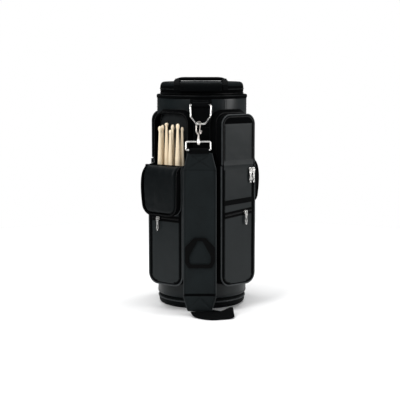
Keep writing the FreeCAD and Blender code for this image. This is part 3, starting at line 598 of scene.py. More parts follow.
# Darker copy of the slate vinyl on the lid: painted shade on its lit top, with a rougher, less glossy finish.
LID_VINYL_PAINTED_SHADE = vinyl("lid_vinyl_painted_shade", (0.0040, 0.0056, 0.0064), 0.62, 0.06)
NYLON = cloth("black_nylon", (0.0012, 0.0015, 0.0017), 0.0009, 0.84, 0.03)
LINING = cloth("lining_cloth", (0.0060, 0.0066, 0.0072), 0.0007, 0.8, 0.08)
POCKET_LINING = cloth("pocket_lining", (0.0150, 0.0170, 0.0180), 0.0008, 0.8, 0.1)
PAD = cloth("pad_cloth", (0.0074, 0.0104, 0.0114), 0.0011, 0.66, 0.1)
GRIP = cloth("grip_cloth", (0.0018, 0.0023, 0.0026), 0.0010, 0.86, 0.03)
TAPE = webbing("zip_tape", (0.0012, 0.0014, 0.0016), "Y", 0.0010, 0.8)
STRAP = webbing("black_webbing", (0.0014, 0.0017, 0.0019), "Y", 0.0016, 0.8)
STRAP_X = webbing("black_webbing_cross", (0.0014, 0.0017, 0.0019), "X", 0.0016, 0.8)
PIPING = smooth_trim("grey_piping", (0.024, 0.028, 0.030), 0.42, 0.3)
PIPING_DARK = smooth_trim("dark_piping", (0.0030, 0.0036, 0.0040), 0.5, 0.14)
PIPING_PAD = smooth_trim("pad_edge", (0.018, 0.021, 0.022), 0.55, 0.2)
TEETH = smooth_trim("coil_teeth", (0.0050, 0.0054, 0.0058), 0.4, 0.25)
THREAD = smooth_trim("grey_thread", (0.022, 0.025, 0.026), 0.7, 0.12)
THREAD_DARK = smooth_trim("black_thread", (0.0016, 0.0019, 0.0021), 0.8, 0.08)
BASE_VINYL = vinyl("base_vinyl", (0.0014, 0.0022, 0.0024), 0.6, 0.05)
MOULDED = smooth_trim("moulded_plastic", (0.0009, 0.0010, 0.0011), 0.6, 0.06)
NICKEL = plated("nickel", (0.78, 0.77, 0.75), 0.18)
NICKEL_WARM = plated("nickel_warm", (0.60, 0.56, 0.53), 0.24)
WOOD = lacquered_wood("hickory", (0.99, 0.85, 0.63), (0.94, 0.76, 0.53))
BOARD = smooth_trim("stiff_board", (0.02, 0.02, 0.02), 0.7, 0.2)
FOAM = cloth("firm_foam", (0.06, 0.06, 0.062), 0.002, 0.9, 0.1, 0.0003, uv=False)


# ---------------------------------------------------------------- sewing, zips and piping

def sew(name, paths, body, rise=0.0, thread=THREAD_DARK, size=STITCH, pitch=STITCH_PITCH):
    """Stitches along paths of (points, outward normal)."""
    settle(marks(name, paths, size, pitch, [thread], rise), body)


def add_teeth(name, path, normal, body, size, rise=0.0, pitch=TOOTH_PITCH):
    """Zip teeth along a path."""
    settle(marks(name, [(path, normal)], size, pitch, [TEETH], rise), body, ())


def pipe(name, path, radius, material, body, nodes=(), closed=False):
    """Piping along a path."""
    settle(cord_mesh(name, path, radius, [material], closed), body, nodes)


# ---------------------------------------------------------------- tube, base and rim

def tube_dent(point):
    """Soft unevenness of the padded tube, inward only, none behind the spine."""
    calm = 0.15 if point.y < 0 and abs(point.x - HANDLE_X) < 30 else 1.0
    diagonal = (point.x + 62) * 0.55 + (point.z - 528) * 0.83
    crease = math.exp(-(diagonal / 5.0) ** 2) * (1.3 if point.y < 0 and -100 < point.x < -35 else 0.0)
    return calm * (0.9 + 0.9 * wave(point, 60, 3) + 0.3 * wave(point, 22, 5)) + crease


def make_tube():
    """Padded tube with a painted highlight, a lighter copy of the slate vinyl on its upper part between two
    of its seams, and its lining.
    """
    low, high = BODY_LOW, RIM_Z
    wall = [(BODY_R, z) for z in spread(low + 1.5, high - 1, 70)]
    outer = [(BODY_R - 1.5, low)] + wall + [(BODY_R - 1, high)]
    inner = [(BODY_R - 4.8, high), (BODY_R - 4.8, low)]

    # Painted highlight: faces of the upper rows between the first two seams take the lighter vinyl.
    def panel(row, column):
        angle = 360 * (column + 0.5) / LATHE_SEGMENTS
        return 1 if 58 < row < 71 and PANEL_SEAMS[0] < angle < PANEL_SEAMS[1] else 0

    shell = lathe("tube_shell", outer + inner, [SLATE, SLATE_PAINTED_SHEEN], tube_dent, choose=panel)
    settle(shell, "bag", ["body_shell"])
    radius = BODY_R - 5.0
    lining = [(0.0, low), (radius, low), (radius, high), (radius - 1.2, high)]
    lining += [(radius - 1.2, z) for z in spread(high - 6, low + 1.2, 40)] + [(0.0, low + 1.2)]
    inside = lathe("tube_lining", lining, [LINING], closed=False)
    settle(inside, "bag", ["body_lining"])


def ring_points(radius, z, count=180):
    angles = [math.radians(360.0 * index / count) for index in range(count)]
    return [Vector((radius * math.sin(a), -radius * math.cos(a), z)) for a in angles]


def whole_ring(radius, z, count=180):
    """A ring whose last point is its first again."""
    ring = ring_points(radius, z, count)
    return ring + ring[:1]


def outward(point):
    return Vector((point[0], point[1], 0)).normalized()


def make_tube_seams():
    """Rows of stitches down the tube's seams and round its two edges."""
    paths = []
    for angle in PANEL_SEAMS:
        a = math.radians(angle)
        for shift in (-2.6, 2.6):
            x, y = BODY_R * math.sin(a), -BODY_R * math.cos(a)
            across = Vector((math.cos(a), math.sin(a), 0)) * shift
            paths.append(([Vector((x, y, z)) + across for z in spread(60, 542, 40)], outward))
    sew("tube_seam_stitches", paths, "bag", -0.25)
    rings = [(whole_ring(BODY_R - 0.2, z), outward) for z in (541.5, 33.5)]
    sew("tube_edge_stitches", rings, "bag", -0.1, THREAD)


def make_base():
    """Base cup: a rounded foot, a groove for the piping, and a recess under the tube's edge."""
    wall = [(BASE_R, z) for z in spread(10.5, 15.2, 3)] + [(BASE_R - 0.6, 16.5), (BASE_R - 0.6, 19.6)]
    wall += [(BASE_R, 21.0), (BASE_R, 24.2), (BASE_R - 1.8, 25.2), (BASE_R - 1.8, 26.6), (BASE_R - 0.6, 27.9)]
    corner = arc((BASE_R - BASE_CORNER, BASE_CORNER), BASE_CORNER, -90, 0, 10)
    inside = [(BASE_R - BASE_WALL, 27.9), (BASE_R - BASE_WALL, BASE_WALL), (0.0, BASE_WALL)]
    profile = [(0.0, 0.0)] + [(r, 0.0) for r in spread(20, BASE_R - 12, 8)] + corner + wall + inside

    def dent(point):
        return max(0.0, 0.7 * wave(point, 26, 9)) if point.z > 5 else 0.0

    base = lathe("base_cup_cloth", profile, [BASE_VINYL], dent, closed=False)
    settle(base, "bag", ["base_cup"])
    sew("base_stitches", [(whole_ring(BASE_R, 23.0), outward)], "bag", -0.1)


def make_ring_piping():
    """Piping round the base, the rim and the lid's seam."""
    pipe("base_piping", ring_points(BASE_R, 18.0), 2.1, PIPING, "bag", ["piping"], closed=True)
    pipe("rim_piping", ring_points(BODY_R - 0.9, RIM_Z + 1.6), 1.8, PIPING_DARK, "bag", closed=True)
    pipe("lid_piping_cord", ring_points(LID_R + 0.6, LID_SEAM + 0.2), 1.3, PIPING_DARK, "lid", ["lid_piping"],
         closed=True)


def make_bindings():
    """Soft nylon bindings folded over the tube's rim and the lid's lower edge."""
    rim = [(117.0, 541.0), (117.9, 541.6), (118.4, 543.4), (118.6, 546.6), (117.9, 549.6), (116.4, 550.8),
           (114.8, 550.0), (114.8, 548.4)]
    band = lathe("rim_binding", smooth_profile(rim), [NYLON], lambda p: max(0.0, 0.5 * wave(p, 30, 2)))
    settle(band, "bag", ())
    edge = [(107.0, 557.0), (108.5, 558.0), (108.9, 561.5), (109.2, 566.0), (109.0, 570.0), (108.5, 573.0),
            (107.0, 573.6)]
    band = lathe("lid_binding", smooth_profile(edge), [NYLON], lambda p: max(0.0, 0.3 * wave(p, 30, 6)))
    settle(band, "lid", ())


def make_rim_zip():
    """Zip tape and teeth on the tube's rim."""
    radii = spread(LID_R + 1.2, 115.2, 5)
    outer, inner = ([ring_points(r, RIM_Z + rise) for r in radii] for rise in (1.2, 0.2))
    settle(slab("rim_tape", outer, inner, [TAPE], ring=True), "bag", ["rim_zip"])
    add_teeth("rim_teeth", whole_ring(111.8, RIM_Z + 2.2, 360), (0, 0, 1), "bag", (1.4, 3.4, 2.0))


# ---------------------------------------------------------------- lid

def make_lid():
    """Padded lid with a rounded shoulder, a slightly domed top and a zip wall below."""
    low = LID_SEAM + 0.6
    wall = [(LID_R, z) for z in spread(low, LID_TOP - LID_SHOULDER, 5)]
    shoulder = arc((LID_R - LID_SHOULDER, LID_TOP - LID_SHOULDER), LID_SHOULDER, 0, 90, 12)[1:]
    crown = [(r, LID_TOP + 1.0 - (r / 98.0) ** 2 - 1.1 * math.exp(-((r - LID_TOP_SEAM) / 2.0) ** 2))
             for r in (96, 93, 91, 89.5, 88, 86.5, 85, 83, 78, 70, 60, 48, 36, 24, 12, 0)]
    profile = [(0.0, low)] + wall + shoulder + crown

    def dent(point):
        return max(0.0, 0.9 * wave(point, 34, 4)) if point.z > low + 1 else 0.0

    # The lid takes the darker vinyl: painted shade on its top.
    lid = lathe("lid_panel_soft", profile, [LID_VINYL_PAINTED_SHADE], dent, closed=False)
    settle(lid, "lid", ["lid_panel"])
    seams = [(whole_ring(LID_R - 0.1, LID_SEAM + 4.4), outward),
             (whole_ring(LID_TOP_SEAM, LID_TOP - 0.6), (0, 0, 1))]
    sew("lid_stitches", seams, "lid", size=(2.6, 0.6, 0.6))
    outside = [(LID_R, z) for z in spread(LID_LOW, LID_SEAM, 8)]
    inside = [(LID_R - LID_WALL, z) for z in (LID_SEAM, LID_LOW)]
    settle(lathe("lid_zip_tape", outside + inside, [TAPE]), "lid", ["lid_zip"])
    add_teeth("lid_teeth", whole_ring(LID_R + 0.5, LID_LOW + 2.4, 360), outward, "lid", (1.4, 3.2, 1.4))


def make_lid_hinge():
    """Strip of cloth behind the lid, sewn to the tube and to the lid."""
    profile = [(118.7, 536.0), (118.9, 542.0), (120.3, 547.0), (120.6, 550.0), (118.0, 553.6), (113.0, 556.6),
               (110.2, 559.0), (109.4, 562.5)]
    angles = [math.radians(degrees) for degrees in spread(-26, 26, 27)]

    def rows(shift):
        return [[Vector(((r + shift) * math.sin(a), (r + shift) * math.cos(a), z)) for a in angles]
                for r, z in smooth_profile(profile)]

    strip = slab("lid_hinge_strip", rows(0.6), rows(-0.4), [NYLON])
    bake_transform(strip)


def smooth_profile(points):
    """Smooth curve through (a, b) points."""
    return [(p.x, p.y) for p in smooth_path([Vector((a, b, 0)) for a, b in points], 4)]


# ---------------------------------------------------------------- pockets

def contact(u):
    """Depth at which the tube's surface meets a pocket wall at u."""
    return math.sqrt(max(0.0, (BODY_R + 0.2) ** 2 - u * u))


def no_flare(u, z):
    return 0.0


def on_front(turn, line, n):
    """A line of (u, z) at a depth n of a pocket's own frame."""
    return [at(turn, u, n, z) for u, z in line]


def gusset(name, turn, outline, near, wall, edge, place, soft=0.9, flare=no_flare):
    """U-shaped side wall of a pocket or flap, its front edge rounded over to the front panel.
    outline is (half width, open end, closed end, corner radius); near gives the wall's rear edge,
    and flare how far the wall stands out at (u, z)."""
    half, open_z, closed_z, radius = outline
    middle = (open_z + closed_z) / 2

    def loop(inset):
        end = closed_z - math.copysign(inset, closed_z - open_z)
        return u_path(half - inset, open_z, end, radius - inset)

    def grid(inset, last):
        rows = []
        for t in spread(0, 1, 12):
            row = []
            for u, z in loop(inset):
                start = near(u, z)
                n = start + (last - start) * t
                give = 0.0
                if not inset:
                    give = soft * math.sin(math.pi * t) * (0.6 + 0.6 * wave((u, n, z), 30, turn * 0.01))
                row.append(place(turn, u * (1 - give / half) + flare(u, z), n, z + (middle - z) * give / 200))
            rows.append(row)
        for angle in (math.radians(degrees) for degrees in (18, 36, 54, 72, 90)):
            shrink = max(edge * (1 - math.cos(angle)) - inset, 0)
            depth = last if inset else last + edge * math.sin(angle)
            rows.append([place(turn, u + flare(u, z), depth, z) for u, z in loop(inset + shrink)])
        return rows

    return slab(name, grid(0.0, POCKET_FRONT - edge), grid(wall, POCKET_FRONT - wall), [NYLON])


def front_panel(name, turn, outline, wall, place, choose, shape, flare=no_flare):
    """Front of a pocket or flap, inside the same outline. shape gives how far a point stands out;
    choose gives 0 for the nylon border and 1 for the vinyl panel."""
    half, open_z, closed_z, radius = outline
    inset = 3.6
    side = math.copysign(1, closed_z - open_z)
    reach = half - inset
    curve = radius - inset
    end = closed_z - side * inset
    levels = spread(open_z, end - side * curve, 56)
    levels += [end - side * curve * (1 - math.sin(math.radians(a))) for a in spread(6, 90, 15)]
    columns = spread(-1, 1, 53)
    flat = []
    for z in levels:
        width = reach - corner_loss(curve, max(0.0, curve - abs(end - z)))
        flat.append([(t * width, z) for t in columns])

    def lifted(u, z):
        border = min(half - abs(u), abs(closed_z - z))
        roll = -0.9 * math.exp(-((border - inset) / 1.6) ** 2)
        return POCKET_FRONT + roll + shape(u, z)

    def moved(u, z):
        return u + flare(u, z) * (abs(u) / half) ** 3

    outer = [[place(turn, moved(u, z), lifted(u, z), z) for u, z in row] for row in flat]
    inner = [[place(turn, moved(u, z), POCKET_FRONT - wall, z) for u, z in row] for row in flat]

    def pick(row, column):
        u = (flat[row][column][0] + flat[row][column + 1][0]) / 2
        z = (flat[row][column][1] + flat[row + 1][column][1]) / 2
        return choose(u, z)

    return slab(name, outer, inner, [NYLON, SLATE], choose=pick)


def folded(turn, u, n, z):
    """A flap's point, turned down about the fold."""
    return at(turn, u, 2 * FOLD_N - n, 2 * FOLD_AXIS_Z - z)


def seam_groove(distance, depth=0.5):
    """Dip of the cloth at a distance from a seam."""
    return -depth * math.exp(-(distance / 1.1) ** 2)


def lower_front_shape(u, z):
    """The lower front panel is gently full, with grooves where the border is sewn on."""
    side = POCKET_HALF - abs(u)
    full = 0.55 * math.cos(math.pi * u / 112) * (0.8 + 0.5 * wave((u, 0, z), 45, 2))
    return full + seam_groove(side - BORDER) + seam_groove(z - POCKET_LOW - LOW_BORDER, 0.4)


def make_lower_pocket(name, turn):
    """The box pocket below its fold: gusset, bordered front panel and piping."""
    body = gusset(name + "_gusset", turn, POCKET_OUTLINE, lambda u, z: contact(u), 3.0, EDGE, at)
    settle(body, "bag", [name + "_pocket"])

    def choose(u, z):
        past_u = abs(u) - POCKET_CORNER
        past_z = POCKET_LOW + POCKET_CORNER - z
        in_corner = past_u > 0 and past_z > 0 and math.hypot(past_u, past_z) > 18.5
        return 0 if in_corner or POCKET_HALF - abs(u) < BORDER or z - POCKET_LOW < LOW_BORDER else 1

    front = front_panel(name + "_front", turn, POCKET_OUTLINE, 3.0, at, choose, lower_front_shape)
    settle(front, "bag", ())
    trim = u_path(POCKET_HALF - 1.2, FOLD_Z - 1, POCKET_LOW + 1.2, POCKET_CORNER - 1.2)
    pipe(name + "_piping", on_front(turn, trim, POCKET_FRONT - 1.2), 2.1, PIPING, "bag")
    rear = u_path(POCKET_HALF + 0.2, FOLD_Z - 1, POCKET_LOW - 0.2, POCKET_CORNER + 0.2)
    pipe(name + "_rear_piping", [at(turn, u, contact(u) + 1.2, z) for u, z in rear], 1.3, PIPING_DARK, "bag")
    sewn = u_path(POCKET_HALF - 12.6, 366, POCKET_LOW + 9.2, POCKET_CORNER - 10)
    sew(name + "_front_stitches", [(on_front(turn, sewn, POCKET_FRONT + 0.1), at(turn, 0, 1, 0))], "bag")


def make_upper_gusset(name, turn):
    """Rear half of the gusset above the fold, with zip tape and teeth along its front edge."""
    def lift(z):
        return GUSSET_LIFT * clamp((z - 440) / 60)

    def grid(inset):
        path = u_path(POCKET_HALF - inset, FOLD_Z, POCKET_HIGH - inset, POCKET_CORNER - inset)
        return [[at(turn, u, contact(u) + (ZIP_DEPTH - contact(u)) * t, z + lift(z) * (1 - t))
                 for u, z in path] for t in spread(0, 1, 6)]

    settle(slab(name + "_upper_gusset", grid(0.0), grid(3.0), [NYLON]), "bag", ())
    path = u_path(POCKET_HALF - 1.6, FOLD_Z + 2, POCKET_HIGH - 1.6, POCKET_CORNER - 1.6)
    over = ZIP_DEPTH + 0.9
    tape = [[at(turn, u * s, n, FOLD_Z + 2 + (z - FOLD_Z - 2) * s) for u, z in path]
            for s, n in ((1.0, ZIP_DEPTH), (1.0, over), (0.972, over), (0.972, ZIP_DEPTH))]
    settle(loft_open(name + "_gusset_tape", tape, [TAPE]), "bag", ())
    add_teeth(name + "_gusset_teeth", on_front(turn, path, over), at(turn, 0, 1, 0), "bag", (1.4, 2.6, 1.0))
    rear = u_path(POCKET_HALF + 0.2, FOLD_Z, POCKET_HIGH + 0.2, POCKET_CORNER + 0.2)
    bead = [at(turn, u, contact(u) + 1.2, z + lift(z)) for u, z in rear]
    pipe(name + "_upper_piping", bead, 1.3, PIPING_DARK, "bag")


def loft_open(name, rows, materials):
    """Solid strip whose section is the same column of every row."""
    sections = [list(section) for section in zip(*rows)]
    return loft(name, sections, materials)


def make_pocket_back(name, turn):
    """Pocket cloth that lies on the tube inside the pocket."""
    outer = []
    inner = []
    for z in spread(POCKET_LOW + 4, POCKET_HIGH - 4, 50):
        half = 52.5 - corner_loss(POCKET_CORNER, max(0.0, POCKET_CORNER - (POCKET_HIGH - 4 - z)))
        row = spread(-half, half, 25)
        outer.append([at(turn, u, contact(u) + 0.25 + 0.2 * wave((u, 0, z), 35, 6), z) for u in row])
        inner.append([at(turn, u, contact(u) - 0.25, z) for u in row])
    settle(slab(name + "_back", outer, inner, [POCKET_LINING]), "bag", ())


def make_flap(name, turn):
    """Tray-shaped flap that closes the upper part of a pocket."""
    is_open = name in OPEN_FLAPS
    place = folded if is_open else at
    body = name + "_flap"

    def flare(u, z):
        """An open flap bulges at its outer side and draws in at the fold."""
        if not is_open or abs(u) < 1:
            return 0.0
        down = (z - FLAP_LOW) / (FLAP_HIGH - FLAP_LOW)
        most = 9.0 if u < 0 else 1.5
        shaped = most * math.sin(math.pi * clamp(down) ** 0.8) - 5.0 * math.exp(-down / 0.07)
        return math.copysign(shaped, u) * (abs(u) / FLAP_HALF) ** 2

    def back(u, z):
        """Depth of the flap's rim: an open flap's wall collapses towards the fold."""
        return FLAP_BACK + (15.0 * math.exp(-(z - FLAP_LOW) / 9.0) if is_open else 0.0)

    walls = gusset(name + "_flap_gusset", turn, FLAP_OUTLINE, back, 2.6, EDGE - 1, place, 0.7, flare)
    settle(walls, body, [name + "_flap"])

    def choose(u, z):
        return 0 if FLAP_HALF - abs(u) < FLAP_BORDER or FLAP_HIGH - z < FLAP_TOP_BORDER else 1

    def shape(u, z):
        full = 0.7 * math.cos(math.pi * u / 108) * (0.8 + 0.5 * wave((u, 0, z), 40, 5))
        sides = seam_groove(FLAP_HALF - abs(u) - FLAP_BORDER)
        return full + sides + seam_groove(FLAP_HIGH - z - FLAP_TOP_BORDER)

    front = front_panel(name + "_flap_front", turn, FLAP_OUTLINE, 2.6, place, choose, shape, flare)
    settle(front, body, ())
    trim = u_path(FLAP_HALF - 1.0, FLAP_LOW + 1, FLAP_HIGH - 1.0, FLAP_CORNER - 1.0)
    cord = [place(turn, u + flare(u, z), POCKET_FRONT - 1.2, z) for u, z in trim]
    pipe(name + "_flap_piping", cord, 1.7, PIPING, body)
    rim = u_path(FLAP_HALF - 1.3, FLAP_LOW, FLAP_HIGH - 1.3, FLAP_CORNER - 1.3)
    tape = [[place(turn, u * s + flare(u, z), back(u, z) - n, FLAP_LOW + (z - FLAP_LOW) * s) for u, z in rim]
            for s, n in ((1.02, 0.0), (1.02, 1.3), (0.975, 1.3), (0.975, 0.0))]
    settle(loft_open(name + "_flap_tape", tape, [TAPE]), body, [name + "_flap_zip"])
    path = [place(turn, u + flare(u, z), back(u, z) - 0.9, z) for u, z in rim]
    add_teeth(name + "_flap_teeth", path, at(turn, 0, 1 if is_open else -1, 0), body, (1.4, 2.4, 1.0))
    if is_open:
        make_flap_lining(name, turn, flare, back)
    else:
        make_flap_front_zip(name, turn)
    make_fold(name, turn, is_open)


def make_flap_lining(name, turn, flare, back):
    """Soft lining of an open flap. It fills the tray in loose folds, with piping round it."""
    inset = 3.0
    outer = []
    inner = []
    for z in spread(FLAP_LOW + 1.5, FLAP_HIGH - inset, 40):
        curve = FLAP_CORNER - inset
        half = FLAP_HALF - inset - corner_loss(curve, max(0.0, curve - (FLAP_HIGH - inset - z)))
        depth = (z - FLAP_LOW) / (FLAP_HIGH - FLAP_LOW)
        ends = clamp(min((z - FLAP_LOW) / 26.0, (FLAP_HIGH - inset - z) / 9.0))
        upper = []
        lower = []
        for t in spread(-1, 1, 41):
            u = t * half
            edge = min(1.0, (1 - abs(t)) * half / 9.0)
            rim = math.sqrt(max(0.0, 1 - (1 - edge) ** 2)) * math.sqrt(max(0.0, 1 - (1 - ends) ** 2))
            crown = 3.4 * math.cos(t * math.pi / 2) * math.sin(math.pi * depth)
            folds = 1.5 * wave((u * 2.4, 0, z * 0.45), 42, 8) + 0.5 * wave((u, 0, z), 14, 3)
            full = rim * (LINING_FULL + crown + folds)
            upper.append(folded(turn, u + flare(u, z), POCKET_FRONT - 2.7 - full, z))
            lower.append(folded(turn, u + flare(u, z), POCKET_FRONT - 2.4, z))
        outer.append(upper)
        inner.append(lower)
    # The lining takes the darker vinyl: painted shade inside the tray.
    lining = slab(name + "_flap_lining", outer, inner, [SLATE_PAINTED_SHADE])
    settle(lining, name + "_flap", ())
    out = at(turn, 0, 1, 0) - at(turn, 0, 0, 0)
    foot = folded(turn, 0, POCKET_FRONT - 2.5, (FLAP_LOW + FLAP_HIGH) / 2) * MM
    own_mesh(lining)
    rim = u_path(FLAP_HALF - 1.5, FLAP_LOW + 4, FLAP_HIGH - 1.5, FLAP_CORNER - 1.5)
    bead = [folded(turn, u + flare(u, z), back(u, z) + 0.6, z) for u, z in rim]
    pipe(name + "_flap_rim_piping", bead, 1.3, PIPING, name + "_flap")


def make_flap_front_zip(name, turn):
    """Zip that runs round the front of a closed flap, just inside its piping."""
    path = u_path(FLAP_HALF - 5.6, FLAP_LOW + 2, FLAP_HIGH - 6.0, FLAP_CORNER - 5.0)
    out = at(turn, 0, 1, 0)
    add_teeth(name + "_front_teeth", on_front(turn, path, POCKET_FRONT + 0.25), out, name + "_flap",
              (1.5, 3.4, 1.2), pitch=2.3)
    side = u_path(FLAP_HALF - FLAP_BORDER - 1.1, FLAP_LOW + 2, FLAP_HIGH - FLAP_TOP_BORDER - 1.2, 5.0)
    sew(name + "_flap_stitches", [(on_front(turn, side, POCKET_FRONT + 0.2), out)], name + "_flap")


def make_fold(name, turn, is_open):
    """Strip of cloth the flap folds about."""
    if is_open:
        profile = [(151.4, 364), (151.6, 370), (151.8, 374.4), (152.2, 375.3), (152.6, 374.4), (152.9, 370),
                   (153.1, 364)]
        start, end = at(turn, 0, 151.9, FOLD_Z), at(turn, 0, 152.5, FOLD_Z)
        over, under, drop, material = 0.0, 0.25, 0.3, NYLON
    else:
        profile = [(151.3, 364), (151.5, 370), (151.9, 374), (152.0, 376), (151.8, 379), (151.4, 388)]
        start, end = at(turn, 0, 152, 372.5), at(turn, 0, 152, 378.5)
        over, under, drop, material = 0.15, 0.6, 0.0, SLATE
    line = smooth_profile(profile)
    columns = spread(-48, 48, 21)
    outer = [[at(turn, u, n + over, z) for u in columns] for n, z in line]
    inner = [[at(turn, u, n - under, z - drop) for u in columns] for n, z in line]
    strip = slab(name + "_fold", outer, inner, [material])
    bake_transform(strip)


def make_lower_zips():
    """Zips across the two front pockets, and the webbing band above the right one."""
    for name, height, slope in (("front_left", 238.0, 0.0), ("front_right", 252.0, 5.5)):
        turn = TURNS[name]
        rise = math.tan(math.radians(slope))
        out = at(turn, 0, 1, 0)

        def line(half, count, n, v=0.0):
            return [at(turn, u, n, height + rise * u + v) for u in spread(-half, half, count)]

        top, under = ([line(45.5, 31, n, v) for v in spread(-8, 8, 5)] for n in (151.8, 150.8))
        tape = slab(name + "_lower_tape", top, under, [TAPE])
        nodes = ["pocket_zips"] if name == "front_left" else []
        settle(tape, "bag", nodes)
        add_teeth(name + "_lower_teeth", line(44, 20, 152.2), out, "bag", (1.4, 4.6, 1.2), pitch=2.1)
        edges = [(line(45, 20, 151.8, v), out) for v in (-6.6, 6.6)]
        sew(name + "_lower_stitches", edges, "bag", 0.1)
    turn = TURNS["front_right"]
    stations = [[at(turn, u, 152.1, z + 0.05 * u) for z in (275.6, 288.4)] for u in spread(-47, 47, 8)]
    band = ribbon("front_right_band", stations, 1.6, [STRAP_X], 3)
    settle(band, "bag", ())


# ---------------------------------------------------------------- handles

def strap_stations(left, right, route):
    """Stations of a strap that follows a route of (y, z) between two values of x."""
    return [(Vector((left, y, z)), Vector((right, y, z))) for y, z in route]


def make_handle_straps():
    """The side straps of both handles, bent at the lid, and the band inside the front grip."""
    half = STRAP_WIDTH / 2
    front = [(-42, 587.4), (-62, 588.0), (-80, 587.8), (-96, 587.2), (-107, 585.2), (-115, 581.6),
             (-120.4, 576.5), (-121.9, 570.5), (-121.6, 564.6)]
    rear = [(66, 587.4), (44, 588.0), (32, 588.2), (24, 589.2)]
    for index, x in enumerate(HANDLE_SIDES):
        stations = strap_stations(x - half, x + half, front)
        arm = ribbon("front_handle_strap_%d" % index, stations, 2.8, [STRAP], 6)
        if index == 0:
            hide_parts("front_handle")
        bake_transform(arm)
        stations = strap_stations(x - half, x + half, rear)
        arm = ribbon("rear_handle_strap_%d" % index, stations, 2.8, [STRAP], 6)
        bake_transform(arm)
    reach = HANDLE_SPREAD + half
    stations = [(Vector((x, GRIP_Y, 564.6)), Vector((x, GRIP_Y, 578.4)))
                for x in spread(HANDLE_X - reach, HANDLE_X + reach, 9)]
    settle(ribbon("front_handle_band", stations, 2.8, [STRAP], 2), "front_handle", ())


def make_patches():
    """Sewn patches that hold the ends of the handle straps."""
    lines = []
    for index, (x, y) in enumerate((x, y) for x in HANDLE_SIDES for y in (-60.0, 46.0)):
        route = [(y + t, 585.2) for t in spread(0, 24, 4)]
        patch = ribbon("handle_patch_%d" % index, strap_stations(x - 9, x + 9, route), 2.4, [STRAP], 3)
        settle(patch, "lid", ["handle_patches"] if index == 0 else [])
        near, far = y + 3, y + 21
        corners = [(x - 5, near), (x + 5, near), (x + 5, far), (x - 5, far), (x - 5, near), (x + 5, far)]
        for route in (corners, [(x + 5, near), (x - 5, far)]):
            lines.append(([Vector((a, b, 589.2)) for a, b in route], (0, 0, 1)))
    sew("patch_stitches", lines, "lid", 0.0, THREAD, (2.4, 0.7, 0.5), 3.2)


def make_front_grip():
    """Padded wrap closed with a seam near its right end."""
    rows = []
    for x in spread(-GRIP_HALF, GRIP_HALF, 70):
        end = min(1.0, (GRIP_HALF - abs(x)) / 5.0)
        rounded = math.sqrt(max(0.0, 1 - (1 - end) ** 2))
        seam = 1.3 * math.exp(-((x - 20.0) / 1.3) ** 2)
        row = []
        for index in range(40):
            angle = 2 * math.pi * index / 40
            point = Vector((x, math.cos(angle), math.sin(angle)))
            soft = 0.5 * wave((x, 20 * point.y, 20 * point.z), 14, 7)
            radius = 7.2 + 3.6 * rounded - seam - 0.4 + soft * rounded * 0.7
            row.append(Vector((HANDLE_X + x, GRIP_Y + radius * point.y, GRIP_Z + radius * point.z)))
        rows.append(row)
    grip = loft("front_grip_pad", rows, [GRIP])
    settle(grip, "front_handle", ["front_grip"])
    circles = []
    for x in (16.6, 23.4):
        circle = [Vector((HANDLE_X + x, GRIP_Y + 10.6 * math.cos(a), GRIP_Z + 10.6 * math.sin(a)))
                  for a in spread(0, 2 * math.pi, 40)]
        circles.append((circle, lambda p: Vector((0, p.y - GRIP_Y, p.z - GRIP_Z))))
    sew("front_grip_stitches", circles, "front_handle", 0.1, size=(2.2, 0.6, 0.5), pitch=3.4)


def make_rear_grip():
    """Padded bar that lies in an arch on the lid."""
    rows = []
    for x in spread(-REAR_BAR_HALF, REAR_BAR_HALF, 60):
        into = max(0.0, abs(x) - 40.0) / 27.5
        height = 9.6 * math.sqrt(max(0.06, 1 - into ** 2.6))
        end = 0.72 + 0.28 * math.sqrt(max(0.0, 1 - (abs(x) / 67.6) ** 8))
        row = []
        for index in range(36):
            angle = 2 * math.pi * index / 36
            c, s = math.cos(angle), math.sin(angle)
            across = math.copysign(abs(c) ** 0.6, c) * 14.6 * end
            up = math.copysign(abs(s) ** 0.75, s) * height / 2
            soft = 0.35 * wave((x, across, up), 15, 2)
            z = 585.1 + height / 2 + up * (1 + soft * 0.05)
            row.append(Vector((HANDLE_X + x, REAR_BAR_Y + across + soft, z)))
        rows.append(row)
    bar = loft("rear_handle_pad", rows, [GRIP])
    settle(bar, "rear_handle", ["rear_handle"])
    edges = [([Vector((HANDLE_X + x, REAR_BAR_Y + y, 594.1)) for x in spread(-38, 38, 20)], (0, 0, 1))
             for y in (-12.0, 12.0)]
    sew("rear_handle_stitches", edges, "rear_handle", -0.2)


# ---------------------------------------------------------------- spine, tab and strap

def on_round(radius, x, z):
    """The point at x and z on the front of a cylinder about the bag's axis."""
    return Vector((x, -math.sqrt(radius ** 2 - x * x), z))


def make_spine():
    """Wide webbing sewn down the front of the tube."""
    def grid(radius, selvedge):
        rows = []
        for z in spread(44, 541, 80):
            row = []
            for x in spread(-29.4, 24.4, 21):
                edge = min(x + 29.5, 24.5 - x)
                row.append(on_round(radius - selvedge * max(0.0, 1 - edge / 1.2) ** 2, x, z))
            rows.append(row)
        return rows

    tape = slab("spine_tape", grid(SPINE_R, 0.9), grid(BODY_R, 0.0), [STRAP])
    settle(tape, "bag", ["spine_webbing"])
    lines = [([on_round(SPINE_R, x, z) for z in spread(46, 539, 60)], outward) for x in (-26.5, 21.5)]
    across = [([on_round(SPINE_R, x, z) for x in spread(-26, 21, 12)], outward) for z in (536.5, 470.0, 48.5)]
    sew("spine_stitches", lines + across, "bag", 0.1, THREAD, (2.6, 0.7, 0.5), 4.2)


def lean(x, forward, drop):
    """A point of the hanging strap: forward of its plane and below the ring's top bar."""
    angle = math.radians(STRAP_LEAN)
    y = -forward * math.cos(angle) - drop * math.sin(angle)
    z = forward * math.sin(angle) - drop * math.cos(angle)
    return Vector((x, RING_Y + y, RING_Z + z))


